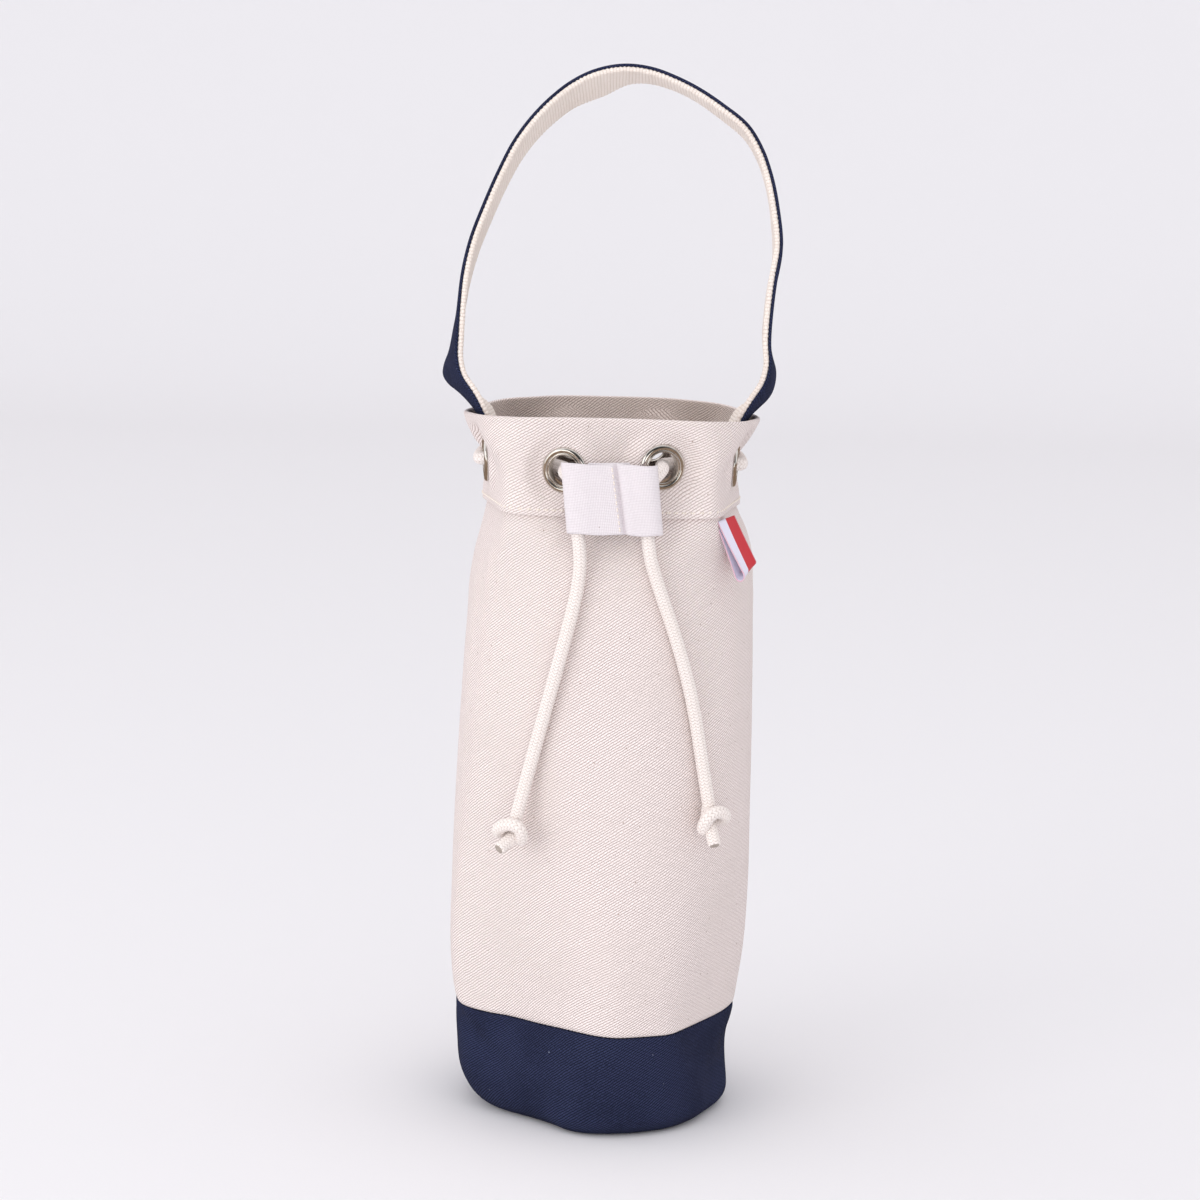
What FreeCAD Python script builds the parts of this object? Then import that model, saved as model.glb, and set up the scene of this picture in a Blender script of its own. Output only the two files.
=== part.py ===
import FreeCAD, Part
import math
import os

from FreeCAD import Placement, Rotation, Vector

# Canvas drawstring bottle carrier. Millimetres, +Z up, the front faces -Y,
# and the origin is the centre of the base's underside.

# Canvas and sewing
CANVAS = 1.0              # one layer of canvas
LAYER_GAP = 0.1           # between two layers that are sewn together
MOVING_GAP = 0.3          # between pieces that move against each other
SEAM_ALLOWANCE = 8.0      # cloth turned to the inside at a seam

# Bag, measured to the outside of its outermost layer
BAG_HEIGHT = 286.0
RIM_RADIUS = 58.7         # half-width, front to back and side to side
NECK_RADIUS = 50.0        # at the lower edge of the collar
COLLAR_HEIGHT = 37.5
SHOULDER_DROP = 28.5      # from the collar's lower edge down to the shoulder
SHOULDER_RADIUS = 56.1
FLANK_HEIGHT = 165.0
FLANK_RADIUS = 58.9
BELLY_HEIGHT = 95.0
BELLY_RADIUS = 60.2
BAND_HEIGHT = 41.5        # navy band, from the floor up to its seam
BAND_RADIUS = 57.2        # at that seam
BASE_RADIUS = 55.0
BASE_ROUND = 8.0          # rounding where the wall turns under

# Drawn in, the cloth goes square: power of its level section, 2 being round
SHOULDER_SQUARENESS = 2.2
NECK_SQUARENESS = 3.9
RIM_SQUARENESS = 2.4

# Flat side that the standing bag has near its foot
FLAT_AZIMUTH = -35.0      # degrees from the front towards +X
FLAT_BASE_REACH = 49.5    # from the axis, at the floor
FLAT_SEAM_REACH = 45.5    # at the band's seam, where it is deepest
FLAT_HEIGHT = 118.0       # where it has gone
FLAT_SOFTNESS = 7.0       # rounding of the flat's two edges
SECTION_POINTS = 48       # in the closed curve of one level section

# Eyelets, evenly spaced round the collar
EYELET_COUNT = 8
EYELET_DROP = 19.5        # centre below the rim
EYELET_HOLE_RADIUS = 5.9
EYELET_BARREL_WALL = 0.6
EYELET_FLANGE_RADIUS = 9.0
EYELET_DOME = 1.5         # height of the flange over the canvas
EYELET_LIP_RADIUS = 7.5   # rolled end that holds the washer
EYELET_LIP = 0.6
WASHER_RADIUS = 8.5
WASHER_THICKNESS = 0.6

# Drawstring
CORD_DIAMETER = 5.2
LACING_SLANT = 25.0       # degrees from straight through an eyelet
LACING_INSIDE = 7.0       # how far the cord passes inside the canvas before it turns
LACING_OUTSIDE = 7.2      # how far it passes outside before it turns
LACING_FRONT = 3.6        # the same at the two front eyelets
LACING_BULGE = -0.6       # extra reach halfway along an outside span
KNOT_RADIUS = 6.0
KNOT_LENGTH = 10.5
TIP_LENGTH = 9.0          # cut end that stands out of a knot

# Hand-chosen routes of the two tails: sideways place, height, and stand-off of the
# cord's centre from the body's wall; a stand-off of None keeps the depth of the cord stop
LEFT_TAIL = [
    (-13.5, 250.0, None),
    (-11.5, 237.0, None),
    (-13.0, 222.0, 4.2),
    (-19.0, 197.0, 3.1),
    (-25.0, 170.0, 3.1),
    (-31.0, 143.0, 4.0),
    (-34.0, 130.5, 6.0),
]
RIGHT_TAIL = [
    (14.2, 250.0, None),
    (14.6, 237.0, None),
    (19.4, 222.0, 4.2),
    (27.5, 200.0, 3.1),
    (34.0, 177.0, 3.1),
    (39.6, 149.0, 4.3),
    (42.3, 135.3, 6.6),
]
LEFT_TIP = (-0.66, -0.35, -0.66)     # directions of the two cut ends
RIGHT_TIP = (0.30, -0.30, -0.91)

# Cord stop, a flat sleeve with two channels
STOP_WIDTH = 37.5
STOP_HEIGHT = 27.7
STOP_TOP_DROP = 16.5      # its top edge below the rim
STOP_STANDOFF = 0.58      # its back in front of the eyelets
STOP_SEAM = 3.8           # sideways place of the seam between the channels
STOP_SEAM_WIDTH = 1.0
STOP_CLEARANCE = 1.2      # channel depth over the cord
STOP_NOTCH_DEPTH = 8.5    # cut in the back where a cord comes in
STOP_NOTCH_WIDTH = 9.5

# Handle strap: a canvas cover outside, webbing inside
STRAP_WIDTH = 25.0
COVER_THICKNESS = 1.4
WEBBING_THICKNESS = 2.1
ARCH_HALF_WIDTH = 65.0
ARCH_RISE = 124.3         # from the handle's axis to the crown, along the arch
ARCH_LEAN = 15.0          # degrees that the arch leans back at rest
# Hand-chosen run of the arch from its left foot to its right one, as shares of half-width and rise
ARCH_SHAPE = [
    (-0.975, 0.04),
    (-0.960, 0.18),
    (-0.915, 0.30),
    (-0.855, 0.416),
    (-0.765, 0.533),
    (-0.665, 0.652),
    (-0.486, 0.805),
    (-0.300, 0.910),
    (-0.126, 0.974),
    (0.023, 1.0),
    (0.292, 0.966),
    (0.575, 0.877),
    (0.754, 0.806),
    (0.862, 0.733),
    (0.935, 0.655),
    (0.988, 0.533),
    (1.010, 0.416),
    (1.0, 0.30),
    (0.980, 0.18),
    (0.965, 0.04),
]
STRAP_ROOT_LENGTH = 15.5  # sewn end inside the rim

# Ribbon tab under the collar
TAB_AZIMUTH = 48.0        # degrees from the front towards +X
TAB_WIDTH = 12.0
TAB_LENGTH = 23.0
TAB_LEAN = 30.0           # degrees outward from straight down
RIBBON = 0.5
TAB_LOOP_RADIUS = 1.7     # outside of the fold at its end
TAB_SEWN = 3.0            # stretch where both layers lie together

# Values that follow from the sizes above
COLLAR_BOTTOM = BAG_HEIGHT - COLLAR_HEIGHT
LAYER = CANVAS + LAYER_GAP
FLARE = math.atan2(RIM_RADIUS - NECK_RADIUS, COLLAR_HEIGHT)
CORD_RADIUS = CORD_DIAMETER / 2
EYELET_HEIGHT = BAG_HEIGHT - EYELET_DROP
SHOULDER_HEIGHT = COLLAR_BOTTOM - SHOULDER_DROP
EYELET_STEP = 360.0 / EYELET_COUNT
BARREL_RADIUS = EYELET_HOLE_RADIUS + EYELET_BARREL_WALL
STACK = (CANVAS + LAYER) * math.cos(FLARE)
SEAT_GAP = 3 * LAYER_GAP  # under an eyelet's flange, whose cloth is not quite flat
WASHER_HOLLOW = WASHER_RADIUS ** 2 / (2 * NECK_RADIUS) + SEAT_GAP
CHANNEL_DEPTH = CORD_DIAMETER + STOP_CLEARANCE
STOP_DEPTH = CHANNEL_DEPTH + 2 * CANVAS
STOP_TOP = BAG_HEIGHT - STOP_TOP_DROP
STRAP_THICKNESS = COVER_THICKNESS + LAYER_GAP + WEBBING_THICKNESS
STRAP_FOOT_RADIUS = RIM_RADIUS - 2 * LAYER - LAYER_GAP
HANDLE_AXIS_HEIGHT = BAG_HEIGHT + MOVING_GAP + STRAP_WIDTH / 2
Z_AXIS = Vector(0, 0, 1)
CENTRE = Vector(0, 0, 0)


def profile(points):
    """Vectors of a section given as (radius, height)."""
    return [Vector(radius, 0, height) for radius, height in points]


def lines(points):
    """Straight edges along a chain of vectors."""
    return [Part.makeLine(start, end) for start, end in zip(points, points[1:])]


def arc(start, middle, end):
    return Part.Arc(start, middle, end).toShape()


def turned(edges, degrees=360.0):
    """Solid of revolution round the vertical axis from the edges of a closed section."""
    return Part.Face(Part.Wire(edges)).revolve(CENTRE, Z_AXIS, degrees)


def outward(azimuth):
    """Horizontal direction at an azimuth, in degrees from the front towards +X."""
    return Vector(math.sin(math.radians(azimuth)), -math.cos(math.radians(azimuth)), 0)


def between(points, place):
    """Value at a place, straight between (place, value) points."""
    for (low, first), (high, last) in zip(points, points[1:]):
        if place <= high:
            return first + (last - first) * (place - low) / (high - low)
    return points[-1][1]


def side_curve():
    """Upright section of the body's side from the band's seam to the collar's lower edge."""
    curve = Part.BSplineCurve()
    curve.interpolate(profile([
        (BAND_RADIUS, BAND_HEIGHT),
        (BELLY_RADIUS, BELLY_HEIGHT),
        (FLANK_RADIUS, FLANK_HEIGHT),
        (SHOULDER_RADIUS, SHOULDER_HEIGHT),
        (NECK_RADIUS - LAYER, COLLAR_BOTTOM),
    ]))
    return curve


def half_width(height):
    """Half-width of the body's outside at a height."""
    if height <= BAND_HEIGHT:
        return between([(0, BASE_RADIUS), (BASE_ROUND, BASE_RADIUS), (BAND_HEIGHT, BAND_RADIUS)], height)
    if height >= COLLAR_BOTTOM:
        return NECK_RADIUS - LAYER + (height - COLLAR_BOTTOM) * math.tan(FLARE)
    curve = side_curve()
    low = curve.FirstParameter
    high = curve.LastParameter
    for _ in range(40):
        middle = (low + high) / 2
        if curve.value(middle).z < height:
            low = middle
        else:
            high = middle
    return curve.value(low).x


def squareness(height):
    """Power of the level section at a height."""
    return between([
        (0, 2.0),
        (SHOULDER_HEIGHT - SHOULDER_DROP / 2, 2.0),
        (SHOULDER_HEIGHT, SHOULDER_SQUARENESS),
        (COLLAR_BOTTOM, NECK_SQUARENESS),
        (BAG_HEIGHT, RIM_SQUARENESS),
    ], height)


def flat_reach(height):
    """Distance of the foot's flat from the axis; it ends where it leaves the rest of the wall."""
    gone = BELLY_RADIUS + FLAT_SOFTNESS
    return between([
        (0, FLAT_BASE_REACH), (BAND_HEIGHT, FLAT_SEAM_REACH), (FLAT_HEIGHT, gone), (BAG_HEIGHT, 2 * gone),
    ], height)


def wall_reaches(height, azimuths):
    """Distances of the body's outside from the axis at a height, softly cut off by the foot's flat."""
    half = half_width(height)
    power = squareness(height)
    flat = flat_reach(height)
    reaches = []
    for azimuth in azimuths:
        angle = math.radians(azimuth)
        spread = abs(math.sin(angle)) ** power + abs(math.cos(angle)) ** power
        reach = half / spread ** (1 / power)
        cut = flat / max(math.cos(math.radians(azimuth - FLAT_AZIMUTH)), 0.2)
        share = min(max(0.5 + (cut - reach) / (2 * FLAT_SOFTNESS), 0), 1)
        reaches.append(cut + (reach - cut) * share - FLAT_SOFTNESS * share * (1 - share))
    return reaches


def wall_frame(azimuth, height):
    """Place on the body's outside, and the level direction square to the wall there."""
    step = 0.5
    azimuths = (azimuth - step, azimuth, azimuth + step)
    places = [outward(a) * r + Z_AXIS * height for a, r in zip(azimuths, wall_reaches(height, azimuths))]
    run = (places[2] - places[0]).normalize()
    return places[1], run.cross(Z_AXIS)


def wall_point(azimuth, height, offset):
    """Place at a level distance outside the body's outside."""
    place, level = wall_frame(azimuth, height)
    return place + level * offset


def wall_front(side, height, offset):
    """Place in front of the bag at a sideways place, at a distance outside the wall."""
    low = -80.0
    high = 80.0
    for _ in range(30):
        middle = (low + high) / 2
        if wall_point(middle, height, offset).x < side:
            low = middle
        else:
            high = middle
    return wall_point(low, height, offset)


def section(height, offset):
    """Closed level curve at a distance outside the body's outside."""
    turns = [180 + 360 * number / SECTION_POINTS for number in range(SECTION_POINTS)]
    curve = Part.BSplineCurve()
    curve.interpolate([wall_point(turn, height, offset) for turn in turns], PeriodicFlag=True)
    return Part.Wire(curve.toShape())


def even(low, high, steps):
    """Evenly spaced values, both ends included."""
    return [low + (high - low) * step / steps for step in range(steps + 1)]


def sections(heights, offset):
    """Level curves at some heights, at one distance outside the body's outside."""
    return [section(height, offset) for height in heights]


def shell(outside, inside):
    """Cloth between two runs of level sections."""
    return Part.makeLoft(outside, True).cut(Part.makeLoft(inside, True))


def prism(height, offset, low, high):
    """Upright solid on one level section, between two heights."""
    outline = section(height, offset)
    outline.translate(Vector(0, 0, low - height))
    return Part.Face(outline).extrude(Vector(0, 0, high - low))


def body_heights():
    """Heights of the sections between the band's seam and the collar's lower edge."""
    return even(BAND_HEIGHT + LAYER_GAP, COLLAR_BOTTOM, 18)


def collar_heights():
    """Heights of the sections from the collar's lower edge to the rim."""
    return even(COLLAR_BOTTOM, BAG_HEIGHT, 4)


def eyelet_azimuth(number):
    """Azimuth of an eyelet, counted from the left front one round the back to the right front one."""
    return -EYELET_STEP * (number + 0.5)


def eyelet_place(number):
    """Placement on the collar's outside whose local +Z is square to the canvas."""
    azimuth = eyelet_azimuth(number)
    step = 2.0
    over = wall_point(azimuth, EYELET_HEIGHT + step, LAYER)
    under = wall_point(azimuth, EYELET_HEIGHT - step, LAYER)
    level = wall_frame(azimuth, EYELET_HEIGHT)[1]
    normal = Z_AXIS.cross(level).cross(over - under)
    position = wall_point(azimuth, EYELET_HEIGHT, LAYER)
    return Placement(position, Rotation(Z_AXIS, normal))


def with_eyelet_holes(shape):
    """Canvas with a round hole for the barrel of each eyelet."""
    holes = []
    for number in range(EYELET_COUNT):
        hole = Part.makeCylinder(BARREL_RADIUS + LAYER_GAP, 6 * STACK, Vector(0, 0, -3 * STACK))
        hole.Placement = eyelet_place(number)
        holes.append(hole)
    return shape.cut(holes)


def body_panel():
    """Natural canvas tube, drawn in at the neck; its top lies behind the collar."""
    tube = shell(sections(body_heights(), 0.0), sections(body_heights(), -CANVAS))
    mouth = shell(sections(collar_heights(), 0.0), sections(collar_heights(), -CANVAS))
    return with_eyelet_holes(tube.fuse(mouth))


def collar_band():
    """Second canvas layer round the mouth, flared towards the rim."""
    return with_eyelet_holes(shell(sections(collar_heights(), LAYER), sections(collar_heights(), LAYER_GAP)))


def foot_rounding(inset):
    """Sections of the band's rounded underside at a depth inside its outside."""
    radius = BASE_ROUND - inset
    run = []
    for degrees in even(0, 90, 4):
        turn = math.radians(degrees)
        run.append(section(BASE_ROUND - radius * math.cos(turn), radius * math.sin(turn) - BASE_ROUND))
    return run


def base_band():
    """Navy canvas round the foot, with its seam allowances turned inside at both ends."""
    under = shell(foot_rounding(0.0), foot_rounding(CANVAS))
    outside = sections(even(BASE_ROUND, BAND_HEIGHT, 3), 0.0)
    inside = sections(even(BASE_ROUND, BAND_HEIGHT - CANVAS, 3), -CANVAS)
    band = under.fuse(shell(outside, inside))
    foot = CANVAS / 2 - BASE_ROUND
    lip = -LAYER
    band = band.fuse(prism(0, foot, CANVAS / 2, SEAM_ALLOWANCE))
    band = band.fuse(prism(BAND_HEIGHT, lip, BAND_HEIGHT - CANVAS / 2, BAND_HEIGHT + SEAM_ALLOWANCE))
    band = band.cut(prism(0, foot - 1.5 * CANVAS, -CANVAS, 2 * SEAM_ALLOWANCE))
    top = BAND_HEIGHT + 2 * SEAM_ALLOWANCE
    return band.cut(prism(BAND_HEIGHT, lip - CANVAS, BAND_HEIGHT - 2 * CANVAS, top))


def base_disc():
    """Navy bottom with its seam allowance standing up inside the band's."""
    edge = BASE_ROUND + CANVAS + LAYER_GAP
    disc = prism(0, -edge, 0, SEAM_ALLOWANCE)
    return disc.cut(prism(0, -edge - CANVAS, CANVAS, 2 * SEAM_ALLOWANCE))


def eyelet(number):
    """Rolled metal eyelet: domed flange, barrel through both layers, lip over the washer."""
    lip_top = -(STACK + WASHER_HOLLOW + WASHER_THICKNESS + LAYER_GAP)
    lip_bottom = lip_top - EYELET_LIP
    crown = (EYELET_HOLE_RADIUS + EYELET_FLANGE_RADIUS) / 2
    dome = profile([
        (EYELET_HOLE_RADIUS, EYELET_DOME * 0.6),
        (crown, EYELET_DOME),
        (EYELET_FLANGE_RADIUS, 2 * SEAT_GAP),
    ])
    rest = profile([
        (EYELET_FLANGE_RADIUS, 2 * SEAT_GAP),
        (EYELET_FLANGE_RADIUS, SEAT_GAP),
        (BARREL_RADIUS, SEAT_GAP),
        (BARREL_RADIUS, lip_top),
        (EYELET_LIP_RADIUS, lip_top),
        (EYELET_LIP_RADIUS, lip_bottom),
        (EYELET_HOLE_RADIUS, lip_bottom),
        (EYELET_HOLE_RADIUS, EYELET_DOME * 0.6),
    ])
    shape = turned([arc(*dome), *lines(rest)])
    shape.Placement = eyelet_place(number)
    return shape


def eyelet_washer(number):
    """Flat ring inside the bag, between the canvas and the eyelet's lip."""
    bottom = -(STACK + WASHER_HOLLOW + WASHER_THICKNESS)
    ring = Part.makeCylinder(WASHER_RADIUS, WASHER_THICKNESS, Vector(0, 0, bottom))
    hole = Part.makeCylinder(BARREL_RADIUS + LAYER_GAP, WASHER_THICKNESS, Vector(0, 0, bottom))
    shape = ring.cut(hole)
    shape.Placement = eyelet_place(number)
    return shape


def stop_back():
    """Distance of the cord stop's back from the bag's axis: just in front of the two front eyelets."""
    place = eyelet_place(0)
    ahead = -place.Rotation.multVec(Z_AXIS).y
    face = EYELET_DOME * ahead - place.Base.y
    edge = EYELET_FLANGE_RADIUS * math.sqrt(1 - ahead ** 2)
    return face + edge + STOP_STANDOFF


def cord_depth():
    """Depth, along Y, of the middle of the cord stop's channels."""
    return -(stop_back() + STOP_DEPTH / 2)


def rounded_path(points):
    """Straight runs joined by tangent arcs, each as large as its two runs allow."""
    edges = []
    start = points[0]
    for before, corner, after in zip(points, points[1:], points[2:]):
        come = (corner - before).normalize()
        leave = (after - corner).normalize()
        turn = come.getAngle(leave)
        cut = 0.45 * min((corner - before).Length, (after - corner).Length)
        radius = cut / math.tan(turn / 2)
        first = corner - come * cut
        last = corner + leave * cut
        inward = (leave - come).normalize()
        middle = corner + inward * radius * (1 / math.cos(turn / 2) - 1)
        edges.append(Part.makeLine(start, first))
        edges.append(arc(first, middle, last))
        start = last
    edges.append(Part.makeLine(start, points[-1]))
    return Part.Wire(edges)


def cord_along(points):
    """Round cord whose centre follows a chain of points."""
    direction = points[1] - points[0]
    circle = Part.Wire(Part.makeCircle(CORD_RADIUS, points[0], direction))
    return rounded_path(points).makePipeShell([circle], True, False)


def tail_points(route):
    """Centre points of a tail from its hand-chosen route."""
    points = []
    for side, height, standoff in route:
        if standoff is None:
            points.append(Vector(side, cord_depth(), height))
        else:
            points.append(wall_front(side, height, standoff))
    return points


def lacing_points():
    """Centre points of the cord from one front eyelet round the bag to the other."""
    slope = math.tan(math.radians(LACING_SLANT))
    to_middle = LAYER - STACK / 2
    last = EYELET_COUNT - 1
    points = front_end(LEFT_TAIL)
    for number in range(EYELET_COUNT):
        azimuth = eyelet_azimuth(number)
        place, level = wall_frame(azimuth, EYELET_HEIGHT)
        middle = place + level * to_middle
        side = 1 if number % 2 == 0 else -1
        sideways = Z_AXIS.cross(level) * side * slope
        reach = LACING_OUTSIDE if 0 < number < last else LACING_FRONT
        crossing = [middle - (level + sideways) * LACING_INSIDE, middle + (level + sideways) * reach]
        if side > 0:
            crossing.reverse()
        points.extend(crossing)
        if side < 0 and number < last:
            halfway = azimuth - EYELET_STEP / 2
            points.append(wall_point(halfway, EYELET_HEIGHT, to_middle + LACING_OUTSIDE + LACING_BULGE))
    points.extend(reversed(front_end(RIGHT_TAIL)))
    return points


def front_end(route):
    """End of the lacing just over a tail, clear of the tail's swing, and its turn into the cord stop."""
    side, height, _ = route[0]
    end = Vector(side, cord_depth(), height + 3 * MOVING_GAP)
    return [end, Vector(side, cord_depth(), EYELET_HEIGHT)]


def knot(route, tip):
    """Overhand knot at the end of a tail, drawn up to a round lump, with the cut end standing out."""
    points = tail_points(route)
    direction = (points[-1] - points[-2]).normalize()
    side = profile([
        (CORD_RADIUS, 0),
        (KNOT_RADIUS, KNOT_LENGTH / 2),
        (CORD_RADIUS, KNOT_LENGTH),
    ])
    caps = profile([(CORD_RADIUS, KNOT_LENGTH), (0, KNOT_LENGTH), (0, 0), (CORD_RADIUS, 0)])
    lump = turned([arc(*side), *lines(caps)])
    lump.Placement = Placement(points[-1], Rotation(Z_AXIS, direction))
    heart = points[-1] + direction * KNOT_LENGTH * 0.6
    end = Part.makeCylinder(CORD_RADIUS, TIP_LENGTH, heart, Vector(*tip))
    return lump.fuse(end).removeSplitter()


def stadium(left, right, depth, height):
    """Upright prism with round ends between two sideways limits, centred on Y = 0."""
    radius = depth / 2
    block = Part.makeBox(right - left - depth, depth, height, Vector(left + radius, -radius, 0))
    for side in (left + radius, right - radius):
        block = block.fuse(Part.makeCylinder(radius, height, Vector(side, 0, 0)))
    return block.removeSplitter()


def cord_stop_sleeve():
    """Folded canvas sleeve with two channels and a notch behind each for the cord to come in."""
    edge = STOP_WIDTH / 2
    sleeve = stadium(-edge, edge, STOP_DEPTH, STOP_HEIGHT)
    limits = [
        (-edge + CANVAS, STOP_SEAM - STOP_SEAM_WIDTH / 2),
        (STOP_SEAM + STOP_SEAM_WIDTH / 2, edge - CANVAS),
    ]
    for left, right in limits:
        sleeve = sleeve.cut(stadium(left, right, CHANNEL_DEPTH, STOP_HEIGHT))
    for left in (-edge - CANVAS, edge + CANVAS - STOP_NOTCH_WIDTH):
        corner = Vector(left, -CORD_RADIUS, STOP_HEIGHT - STOP_NOTCH_DEPTH)
        sleeve = sleeve.cut(Part.makeBox(STOP_NOTCH_WIDTH, STOP_DEPTH, STOP_NOTCH_DEPTH, corner))
    sleeve.translate(Vector(0, cord_depth(), STOP_TOP - STOP_HEIGHT))
    return sleeve


def arch_curve(inset):
    """Run of the handle strap in its upright plane, at a depth under its outside, its feet drawn on down."""
    foot = STRAP_WIDTH / 2
    below = STRAP_FOOT_RADIUS - foot * math.tan(FLARE)
    run = [(-below, -2 * foot), (-STRAP_FOOT_RADIUS, -foot)]
    run.extend((side * ARCH_HALF_WIDTH, height * ARCH_RISE) for side, height in ARCH_SHAPE)
    run.extend([(STRAP_FOOT_RADIUS, -foot), (below, -2 * foot)])
    outside = Part.BSplineCurve()
    outside.interpolate(profile((side, HANDLE_AXIS_HEIGHT + height) for side, height in run))
    if inset == 0:
        return outside
    steps = 4 * len(run)
    span = outside.LastParameter - outside.FirstParameter
    places = []
    for step in range(steps + 1):
        at = outside.FirstParameter + span * step / steps
        ahead = outside.tangent(at)[0]
        places.append(outside.value(at) + Vector(ahead.z, 0, -ahead.x) * inset)
    inside = Part.BSplineCurve()
    inside.interpolate(places)
    return inside


def strap_layer(inset, thickness):
    """One layer of the handle strap, with round feet about the handle's axis, leaning back."""
    outer = arch_curve(inset).toShape()
    inner = arch_curve(inset + thickness).toShape()
    closing = [
        Part.makeLine(first.Point, second.Point) for first, second in zip(outer.Vertexes, inner.Vertexes)
    ]
    wire = Part.Wire(Part.__sortEdges__([outer, inner, *closing]))
    blank = Part.Face(wire).extrude(Vector(0, STRAP_WIDTH, 0))
    blank.translate(Vector(0, -STRAP_WIDTH / 2, 0))
    length = 4 * ARCH_HALF_WIDTH
    upper = Part.makeBox(
        length, STRAP_WIDTH, 2 * ARCH_RISE, Vector(-length / 2, -STRAP_WIDTH / 2, HANDLE_AXIS_HEIGHT),
    )
    feet = Part.makeCylinder(
        STRAP_WIDTH / 2, length, Vector(-length / 2, 0, HANDLE_AXIS_HEIGHT), Vector(1, 0, 0),
    )
    layer = blank.common(upper.fuse(feet))
    layer.rotate(Vector(0, 0, HANDLE_AXIS_HEIGHT), Vector(1, 0, 0), -ARCH_LEAN)
    return layer


def strap_root(azimuth):
    """Sewn end of the strap, lying on the inside of the body just below the rim."""
    top = RIM_RADIUS - 2 * LAYER
    bottom = top - STRAP_ROOT_LENGTH * math.tan(FLARE)
    low = BAG_HEIGHT - STRAP_ROOT_LENGTH
    strip = profile([
        (top, BAG_HEIGHT),
        (top - STRAP_THICKNESS, BAG_HEIGHT),
        (bottom - STRAP_THICKNESS, low),
        (bottom, low),
        (top, BAG_HEIGHT),
    ])
    spread = math.degrees(STRAP_WIDTH / top)
    shape = turned(lines(strip), spread)
    shape.rotate(CENTRE, Z_AXIS, azimuth - 90 - spread / 2)
    return shape


def label_tab():
    """Ribbon folded to a loop and sewn under the collar's edge, with a round top on its hinge line."""
    height = COLLAR_BOTTOM - MOVING_GAP - RIBBON
    place, radial = wall_frame(TAB_AZIMUTH, height)
    sideways = Z_AXIS.cross(radial)
    hinge = place + radial * (RIBBON + MOVING_GAP)
    lean = math.radians(TAB_LEAN)
    down = radial * math.sin(lean) - Z_AXIS * math.cos(lean)
    across = radial * math.cos(lean) + Z_AXIS * math.sin(lean)
    end = TAB_LENGTH - TAB_LOOP_RADIUS

    def at(depth, length):
        return hinge + across * depth + down * length - sideways * TAB_WIDTH / 2

    gap = TAB_LOOP_RADIUS - RIBBON
    outside = [
        Part.makeLine(at(RIBBON, 0), at(TAB_LOOP_RADIUS, end)),
        arc(at(TAB_LOOP_RADIUS, end), at(0, TAB_LENGTH), at(-TAB_LOOP_RADIUS, end)),
        Part.makeLine(at(-TAB_LOOP_RADIUS, end), at(-RIBBON, 0)),
        arc(at(-RIBBON, 0), at(0, -RIBBON), at(RIBBON, 0)),
    ]
    inside = [
        Part.makeLine(at(0, TAB_SEWN), at(gap, end)),
        arc(at(gap, end), at(0, TAB_LENGTH - RIBBON), at(-gap, end)),
        Part.makeLine(at(-gap, end), at(0, TAB_SEWN)),
    ]
    loop = Part.Face(Part.Wire(outside)).cut(Part.Face(Part.Wire(inside)))
    return loop.Faces[0].extrude(sideways * TAB_WIDTH)


def all_pieces():
    """Every piece by its node name."""
    pieces = {
        "body_panel": body_panel(),
        "collar_band": collar_band(),
        "base_band": base_band(),
        "base_disc": base_disc(),
        "drawstring_lacing": cord_along(lacing_points()),
        "drawstring_tail_left": cord_along(tail_points(LEFT_TAIL)),
        "drawstring_tail_right": cord_along(tail_points(RIGHT_TAIL)),
        "drawstring_knot_left": knot(LEFT_TAIL, LEFT_TIP),
        "drawstring_knot_right": knot(RIGHT_TAIL, RIGHT_TIP),
        "cord_stop_sleeve": cord_stop_sleeve(),
        "handle_cover": strap_layer(0.0, COVER_THICKNESS),
        "handle_webbing": strap_layer(COVER_THICKNESS + LAYER_GAP, WEBBING_THICKNESS),
        "handle_root_left": strap_root(-90.0),
        "handle_root_right": strap_root(90.0),
        "label_tab": label_tab(),
    }
    for number in range(EYELET_COUNT):
        pieces[f"eyelet_{number + 1}"] = eyelet(number)
        pieces[f"eyelet_washer_{number + 1}"] = eyelet_washer(number)
    return pieces


os.makedirs("parts", exist_ok=True)
for name, shape in all_pieces().items():
    shape.exportStep(f"parts/{name}.step")
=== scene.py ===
import math

import bpy
import numpy as np
from mathutils import Matrix, Vector


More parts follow.
